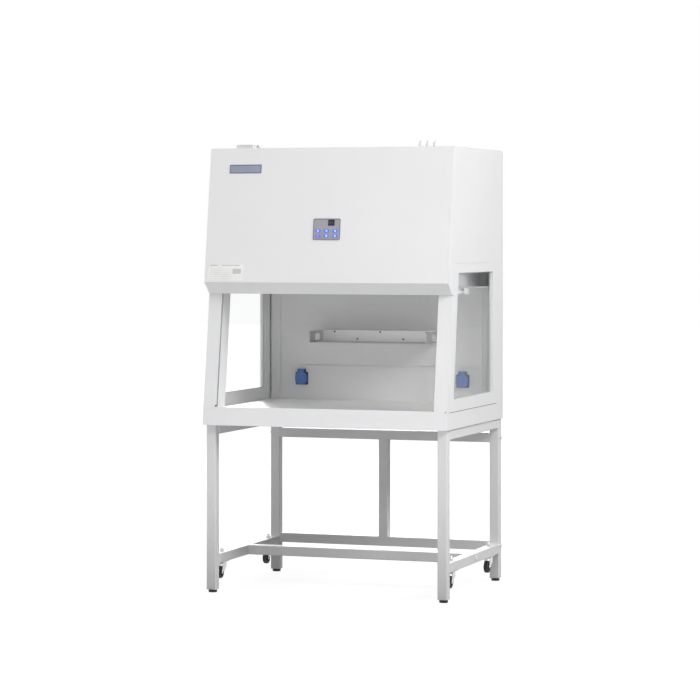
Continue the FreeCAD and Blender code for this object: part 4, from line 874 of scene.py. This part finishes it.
class CABINET_OT_add_seals(bpy.types.Operator):
    """Run a bead of sealant round the side windows, and lay a black strip under their frames as painted
    shade in the gap there
    """

    bl_idname = "cabinet.add_seals"
    bl_label = "Add the window seals"

    def execute(self, context):
        width = sizes().seal_width
        low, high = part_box("side_window_glass")
        outer = high.x
        inner = outer - PANE_THICKNESS
        slant = math.tan(LEAN)
        foot = front_line(low.z) + WINDOW_SETBACK
        head = front_line(high.z) + WINDOW_SETBACK
        corners = ((foot, low.z), (high.y, low.z), (high.y, high.z), (head, high.z))
        pulled = (
            (foot + width * (1 + slant), low.z + width), (high.y - width, low.z + width),
            (high.y - width, high.z - width), (head + width * (1 - slant), high.z - width),
        )
        for name, side in (("right", 1), ("left", -1)):
            seals = bmesh.new()
            for face, rise in ((outer, width), (inner, -0.35 * width)):
                section = (
                    (corners, face), (corners, face + rise), (pulled, face + 0.2 * rise), (pulled, face),
                )
                rings = [[seals.verts.new((side * x, y, z)) for y, z in outline] for outline, x in section]
                for step, ring in enumerate(rings):
                    join(seals, rings[step - 1], ring)
            add_piece(f"{name}_window_seals", seals, "seal")
            # A black strip in the gap under each window frame, painted shade that deepens the shadow line
            # between the frame and the base
            shade_strip = bmesh.new()
            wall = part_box("right_window_frame")[1].x
            start, stop = (BASE_FRONT + run for run in SHADE_STRIP_RUN)
            edges = sorted((side * (wall - 0.0021), side * (wall - 0.0005)))
            box_between(shade_strip, (edges[0], start, SHADE_STRIP_LEVELS[0]), (edges[1], stop, SHADE_STRIP_LEVELS[1]))
            add_piece(f"{name}_frame_foam", shade_strip, "black_rubber")
        return {"FINISHED"}


class CABINET_OT_add_welds(bpy.types.Operator):
    """Lay the weld beads where the stand's rails meet its legs"""

    bl_idname = "cabinet.add_welds"
    bl_label = "Add the weld beads"

    LIFT = 0.0006
    PITCH = 0.0017
    RIPPLE = 0.16

    def execute(self, context):
        radius = sizes().weld
        beads = bmesh.new()
        half = TUBE_HALF
        low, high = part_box("lower_side_rails")
        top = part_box("top_side_rails")[1].z
        for side in (-1, 1):
            middle = side * (high.x - 0.02)
            for y, inward in ((low.y, 1), (high.y, -1)):
                ring = [
                    Vector((middle + point.x, y + inward * self.LIFT, (low.z + high.z) / 2 + point.y))
                    for point in rounded(2 * half, 2 * half, 0.003, 2)
                ]
                bead(beads, fine_path(ring, self.PITCH), BACK, radius, self.RIPPLE)
                open_ring = [
                    Vector((middle + across * half, y + inward * self.LIFT, top - drop))
                    for across, drop in ((-1, 0.004), (-1, 0.039), (1, 0.039), (1, 0.004))
                ]
                bead(beads, fine_path(open_ring, self.PITCH, False), BACK, radius, self.RIPPLE, closed=False)
        low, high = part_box("rear_middle_post")
        for level, inward in ((low.z, 1), (high.z, -1)):
            ring = [
                Vector((point.x, (low.y + high.y) / 2 + 0.96 * point.y, level + inward * self.LIFT))
                for point in rounded(2 * half, 2 * half - 0.003, 0.003, 2)
            ]
            bead(beads, fine_path(ring, self.PITCH), UP, radius, self.RIPPLE)
        add_piece("weld_beads", beads, "stand_paint")
        return {"FINISHED"}


class CABINET_OT_add_castor_trim(bpy.types.Operator):
    """Fit ribs to the castor wheels and sockets to their axle heads"""

    bl_idname = "cabinet.add_castor_trim"
    bl_label = "Add the castor trim"

    RIB = ((0.0025, 0.0075), (0.0070, 0.0075), (0.0084, 0.0196), (0.0025, 0.0196))

    def execute(self, context):
        upright = Matrix(((1, 0, 0, 0), (0, 0, 1, 0), (0, 1, 0, 0), (0, 0, 0, 1)))
        ways = sizes().ribs
        for corner in CORNERS:
            middle = middle_of(f"{corner}_castor_wheel")
            ribs = bmesh.new()
            for step in range(ways):
                turn = Matrix.Translation(middle) @ Matrix.Rotation(math.tau * step / ways, 4, "X")
                for side in (-1, 1):
                    outline = [Vector((side * x, y)) for x, y in self.RIB]
                    slab(ribs, turn @ upright, outline, -0.0009, 0.0009)
            add_piece(f"{corner}_wheel_ribs", ribs, "black_rubber", f"{corner}_castor_wheel")
            heads = bmesh.new()
            low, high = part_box(f"{corner}_castor_fork")
            for x, way in ((low.x, -RIGHT), (high.x, RIGHT)):
                at = Vector((x, middle.y, middle.z)) - 0.0016 * way
                turned(heads, at, way, [
                    (0, 0), (0.0058, 0, hexagon), (0.0058, 0.0012, hexagon), (0.0050, 0.0016, hexagon),
                    (0, 0.0016),
                ], 24)
            add_piece(f"{corner}_axle_heads", heads, "screw_steel", f"{corner}_castor_fork")
        return {"FINISHED"}


class CABINET_OT_add_foot_threads(bpy.types.Operator):
    """Cut the thread on the foot stems"""

    bl_idname = "cabinet.add_foot_threads"
    bl_label = "Add the foot threads"

    def execute(self, context):
        for corner in CORNERS:
            foot = middle_of(f"{corner}_foot")
            stem = bmesh.new()
            threaded(
                stem, Vector((foot.x, foot.y, FOOT_STEM)), core=0.0048, root=0.00485, crest=0.00526,
                pitch=0.0015, turns=26, top=0.0015 * 26, rises=(0.0002, 0.0007, 0.0009),
            )
            add_piece(f"{corner}_foot_thread", stem, "zinc", f"{corner}_foot")
        return {"FINISHED"}


class CABINET_OT_add_lamp_caps(bpy.types.Operator):
    """Fit the metal caps of the lamps under the ceiling"""

    bl_idname = "cabinet.add_lamp_caps"
    bl_label = "Add the lamp caps"

    LAMPS = ((-0.200, 1.226, 0.008), (0.240, 1.222, 0.013))
    LAMP_END = 0.4005
    CAP = 0.0145

    def execute(self, context):
        caps = bmesh.new()
        for y, level, radius in self.LAMPS:
            for side in (-1, 1):
                outer = radius + 0.0005
                turned(caps, Vector((side * self.LAMP_END, y, level)), -side * RIGHT, [
                    (0, 0), (outer, 0), (outer, 0.013), (outer - 0.0008, self.CAP), (0, self.CAP),
                ], 24)
        add_piece("lamp_caps", caps, "sash_rail")
        return {"FINISHED"}


class CABINET_OT_add_roof_fittings(bpy.types.Operator):
    """Fit the lid of the terminal box, the ribs of its knob and the glands' nuts"""

    bl_idname = "cabinet.add_roof_fittings"
    bl_label = "Add the roof fittings"

    BOX = (-0.435, -0.100)
    KNOB = -0.384
    GLANDS = (0.285, 0.316, 0.347)
    LID_TOP = 0.0200

    def execute(self, context):
        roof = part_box("top_panel")[1].z
        place = Matrix.Translation((*self.BOX, roof))
        levels = (0.0165, self.LID_TOP, 0.0008)
        outline = rounded(0.0768, 0.0918, 0.0040)
        add_slab("terminal_box_lid", place, outline, levels, "fitting_white")
        heads = [(x, y, roof + self.LID_TOP) for x in (-0.465, -0.405) for y in (-0.138, -0.062)]
        add_heads("terminal_box_screws", heads, UP, 0.0030)
        ribs = bmesh.new()
        turned(ribs, Vector((self.KNOB, self.BOX[1], roof)), UP, [
            (0, 0.003), (0.0100, 0.003, knurl), (0.0100, 0.0170, knurl), (0.0086, 0.0196), (0, 0.0196),
        ], 24)
        for x in self.GLANDS:
            turned(ribs, Vector((x, 0, roof)), UP, [
                (0, 0.0002), (0.0112, 0.0002, hexagon), (0.0112, 0.0072, hexagon), (0.0098, 0.0080, hexagon),
                (0.0070, 0.0080), (0.0070, 0.0100), (0.0090, 0.0104, knurl), (0.0090, 0.0220, knurl),
                (0.0064, 0.0270), (0, 0.0270),
            ], 24)
        add_piece("gland_nuts", ribs, "fitting_white")
        return {"FINISHED"}


class CABINET_OT_add_filter_pleats(bpy.types.Operator):
    """Fold the filter's paper under its core"""

    bl_idname = "cabinet.add_filter_pleats"
    bl_label = "Add the filter pleats"

    DEPTH = 0.014
    PAPER = 0.0004

    def execute(self, context):
        low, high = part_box("filter_core")
        folds = 2 * sizes().pleats
        front = []
        back = []
        pleats = bmesh.new()
        for step in range(folds + 1):
            x = low.x + 0.001 + (high.x - low.x - 0.002) * step / folds
            level = low.z - self.PAPER - (self.DEPTH if step % 2 else 0)
            front.append(pleats.verts.new((x, low.y + 0.001, level)))
            back.append(pleats.verts.new((x, high.y - 0.001, level)))
        for step in range(folds):
            pleats.faces.new((front[step], front[step + 1], back[step + 1], back[step]))
        piece = add_piece("filter_pleats", pleats, "filter_paper")
        piece.modifiers.new("paper", "SOLIDIFY").thickness = self.PAPER
        return {"FINISHED"}


class CABINET_OT_add_socket_clips(bpy.types.Operator):
    """Bend the earth clips into the socket wells"""

    bl_idname = "cabinet.add_socket_clips"
    bl_label = "Add the socket clips"

    def execute(self, context):
        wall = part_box("rear_wall_panels")[0].y
        clips = bmesh.new()
        for x in (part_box("left_socket_lid")[0].x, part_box("right_socket_lid")[0].x):
            low, high = x + SOCKET_HALF - 0.003, x + SOCKET_HALF + 0.003
            for up in (-1, 1):
                foot, head = sorted(SOCKET_LEVEL + up * away for away in (0.0170, 0.0192))
                box_between(clips, (low, wall - 0.003, foot), (high, wall + 0.0115, head))
        add_piece("socket_clips", clips, "screw_steel")
        return {"FINISHED"}


class CABINET_OT_build_studio(bpy.types.Operator):
    """Set up the pale floor, the soft lights and the camera"""

    bl_idname = "cabinet.build_studio"
    bl_label = "Build the studio"

    LIGHTS = {
        "key": ((2.8, -5.0, 6.5), 3.0),
        "side": ((4.6, -1.6, 4.0), 2.5),
        "front": ((0.3, -3.8, 1.25), 1.2),
        "top": ((0.0, 0.0, 7.0), 4.0),
        "left": ((-6.0, -0.6, 4.2), 3.0),
        "rear": ((-2.0, 6.5, 3.4), 3.5),
    }
    AIM = Vector((0, 0, 0.9))
    APRON_EDGE = (-0.95, -0.75)
    SHADOW_REACH = (0.9, 2.6)

    def execute(self, context):
        scene = context.scene
        studio = scene.cabinet_studio
        scene.view_settings.view_transform = "Standard"
        self.lay_floor(studio)
        self.light_sky(scene, studio)
        for name, (place, size) in self.LIGHTS.items():
            self.hang_light(f"{name}_light", place, size, getattr(studio, f"{name}_power"))
        camera = bpy.data.cameras.new("camera")
        camera.lens = studio.lens
        camera.shift_y = studio.shift
        camera.clip_end = 60
        holder = bpy.data.objects.new("camera", camera)
        holder.location = studio.camera_place
        holder.rotation_euler = (math.pi / 2, 0, studio.camera_turn)
        scene.collection.objects.link(holder)
        scene.camera = holder
        return {"FINISHED"}

    @staticmethod
    def seen(tree):
        """One for rays that show the background itself, and nothing for those that carry light."""
        path = wire(tree, "LightPath").outputs
        straight = larger(tree, path["Is Camera Ray"], path["Is Transmission Ray"])
        return larger(tree, straight, path["Is Glossy Ray"])

    def lay_floor(self, studio):
        sheet = bmesh.new()
        bmesh.ops.create_grid(sheet, x_segments=2, y_segments=2, size=30)
        mesh = bpy.data.meshes.new("floor")
        sheet.to_mesh(mesh)
        sheet.free()
        made, tree, shader = new_material("floor")
        place = wire(tree, "TexCoord").outputs["Object"]
        back = wire(tree, "SeparateXYZ", {0: place}).outputs["Y"]
        laid = between(tree, back, *self.APRON_EDGE, studio.apron, studio.floor)
        pale = times(tree, laid, between(tree, noise(tree, 0.7, 2.0), 0.3, 0.7, 0.98, 1.02))
        tint = wire(tree, "CombineColor", {0: pale, 1: pale, 2: pale}).outputs["Color"]
        tree.links.new(tint, shader.inputs["Base Color"])
        shader.inputs["Roughness"].default_value = 0.9
        shader.inputs["Specular IOR Level"].default_value = 0.0
        depth = studio.shadow
        shown = wire(tree, "BsdfDiffuse", {"Color": (depth, depth, depth, 1)}).outputs[0]
        away = wire(tree, "VectorMath", {0: place}, operation="LENGTH").outputs["Value"]
        glow = between(tree, away, *self.SHADOW_REACH, 1.02 - depth, 1.0)
        white = wire(tree, "Emission", {"Strength": glow}).outputs[0]
        mixed = wire(tree, "AddShader", {0: white, 1: shown}).outputs[0]
        whole = wire(tree, "MixShader", {0: self.seen(tree), 1: shader.outputs[0], 2: mixed})
        tree.links.new(whole.outputs[0], tree.nodes["Material Output"].inputs["Surface"])
        mesh.materials.append(made)
        floor = bpy.data.objects.new("floor", mesh)
        bpy.context.scene.collection.objects.link(floor)

    def light_sky(self, scene, studio):
        world = bpy.data.worlds.new("studio")
        world.use_nodes = True
        scene.world = world
        tree = world.node_tree
        light = tree.nodes["Background"]
        light.inputs["Color"].default_value = (1, 1, 1, 1)
        way = wire(tree, "TexCoord").outputs["Generated"]
        height = wire(tree, "SeparateXYZ", {0: way}).outputs["Z"]
        tree.links.new(between(tree, height, 0.3, 0.85, studio.sky, studio.zenith), light.inputs["Strength"])
        white = wire(tree, "Background", {"Color": (1, 1, 1, 1), "Strength": 1.0}).outputs[0]
        mixed = wire(tree, "MixShader", {0: self.seen(tree), 1: light.outputs[0], 2: white})
        tree.links.new(mixed.outputs[0], tree.nodes["World Output"].inputs["Surface"])

    def hang_light(self, name, place, size, energy):
        lamp = bpy.data.lights.new(name, "AREA")
        lamp.shape = "DISK"
        lamp.size = size
        lamp.energy = energy
        holder = bpy.data.objects.new(name, lamp)
        holder.location = place
        holder.rotation_mode = "QUATERNION"
        holder.rotation_quaternion = (self.AIM - Vector(place)).to_track_quat("-Z", "Y")
        holder.visible_camera = False
        bpy.context.scene.collection.objects.link(holder)


OPERATORS = (
    CABINET_OT_finish_frame,
    CABINET_OT_add_control_panel,
    CABINET_OT_add_key_marks,
    CABINET_OT_add_plates,
    CABINET_OT_add_screws,
    CABINET_OT_add_seals,
    CABINET_OT_add_sash_guides,
    CABINET_OT_add_castor_studs,
    CABINET_OT_add_welds,
    CABINET_OT_add_castor_trim,
    CABINET_OT_add_foot_threads,
    CABINET_OT_add_lamp_caps,
    CABINET_OT_add_roof_fittings,
    CABINET_OT_add_filter_pleats,
    CABINET_OT_add_socket_clips,
    CABINET_OT_build_studio,
)


class CABINET_PT_looks(bpy.types.Panel):
    """Lists the steps that dress the cabinet, with their colours and sizes"""

    bl_idname = "CABINET_PT_looks"
    bl_label = "PCR cabinet"
    bl_space_type = "VIEW_3D"
    bl_region_type = "UI"
    bl_category = "Cabinet"

    def draw(self, context):
        scene = context.scene
        for values in (scene.cabinet_colours, scene.cabinet_sizes, scene.cabinet_studio):
            box = self.layout.box()
            for name in values.bl_rna.properties.keys():
                if name not in ("rna_type", "name"):
                    box.prop(values, name)
        for operator in OPERATORS:
            self.layout.operator(operator.bl_idname)


CLASSES = (CabinetColours, CabinetSizes, CabinetStudio, *OPERATORS, CABINET_PT_looks)


def register():
    for made in CLASSES:
        bpy.utils.register_class(made)
    bpy.types.Scene.cabinet_colours = PointerProperty(type=CabinetColours)
    bpy.types.Scene.cabinet_sizes = PointerProperty(type=CabinetSizes)
    bpy.types.Scene.cabinet_studio = PointerProperty(type=CabinetStudio)


def unregister():
    del bpy.types.Scene.cabinet_studio
    del bpy.types.Scene.cabinet_sizes
    del bpy.types.Scene.cabinet_colours
    for made in reversed(CLASSES):
        bpy.utils.unregister_class(made)


def main():
    register()
    bpy.ops.cabinet.finish_frame()
    bpy.ops.cabinet.add_control_panel()
    bpy.ops.cabinet.add_key_marks()
    bpy.ops.cabinet.add_plates()
    bpy.ops.cabinet.add_screws()
    bpy.ops.cabinet.add_seals()
    bpy.ops.cabinet.add_sash_guides()
    bpy.ops.cabinet.add_castor_studs()
    bpy.ops.cabinet.add_welds()
    bpy.ops.cabinet.add_castor_trim()
    bpy.ops.cabinet.add_foot_threads()
    bpy.ops.cabinet.add_lamp_caps()
    bpy.ops.cabinet.add_roof_fittings()
    bpy.ops.cabinet.add_filter_pleats()
    bpy.ops.cabinet.add_socket_clips()
    bpy.ops.cabinet.build_studio()


if __name__ == "__main__":
    main()
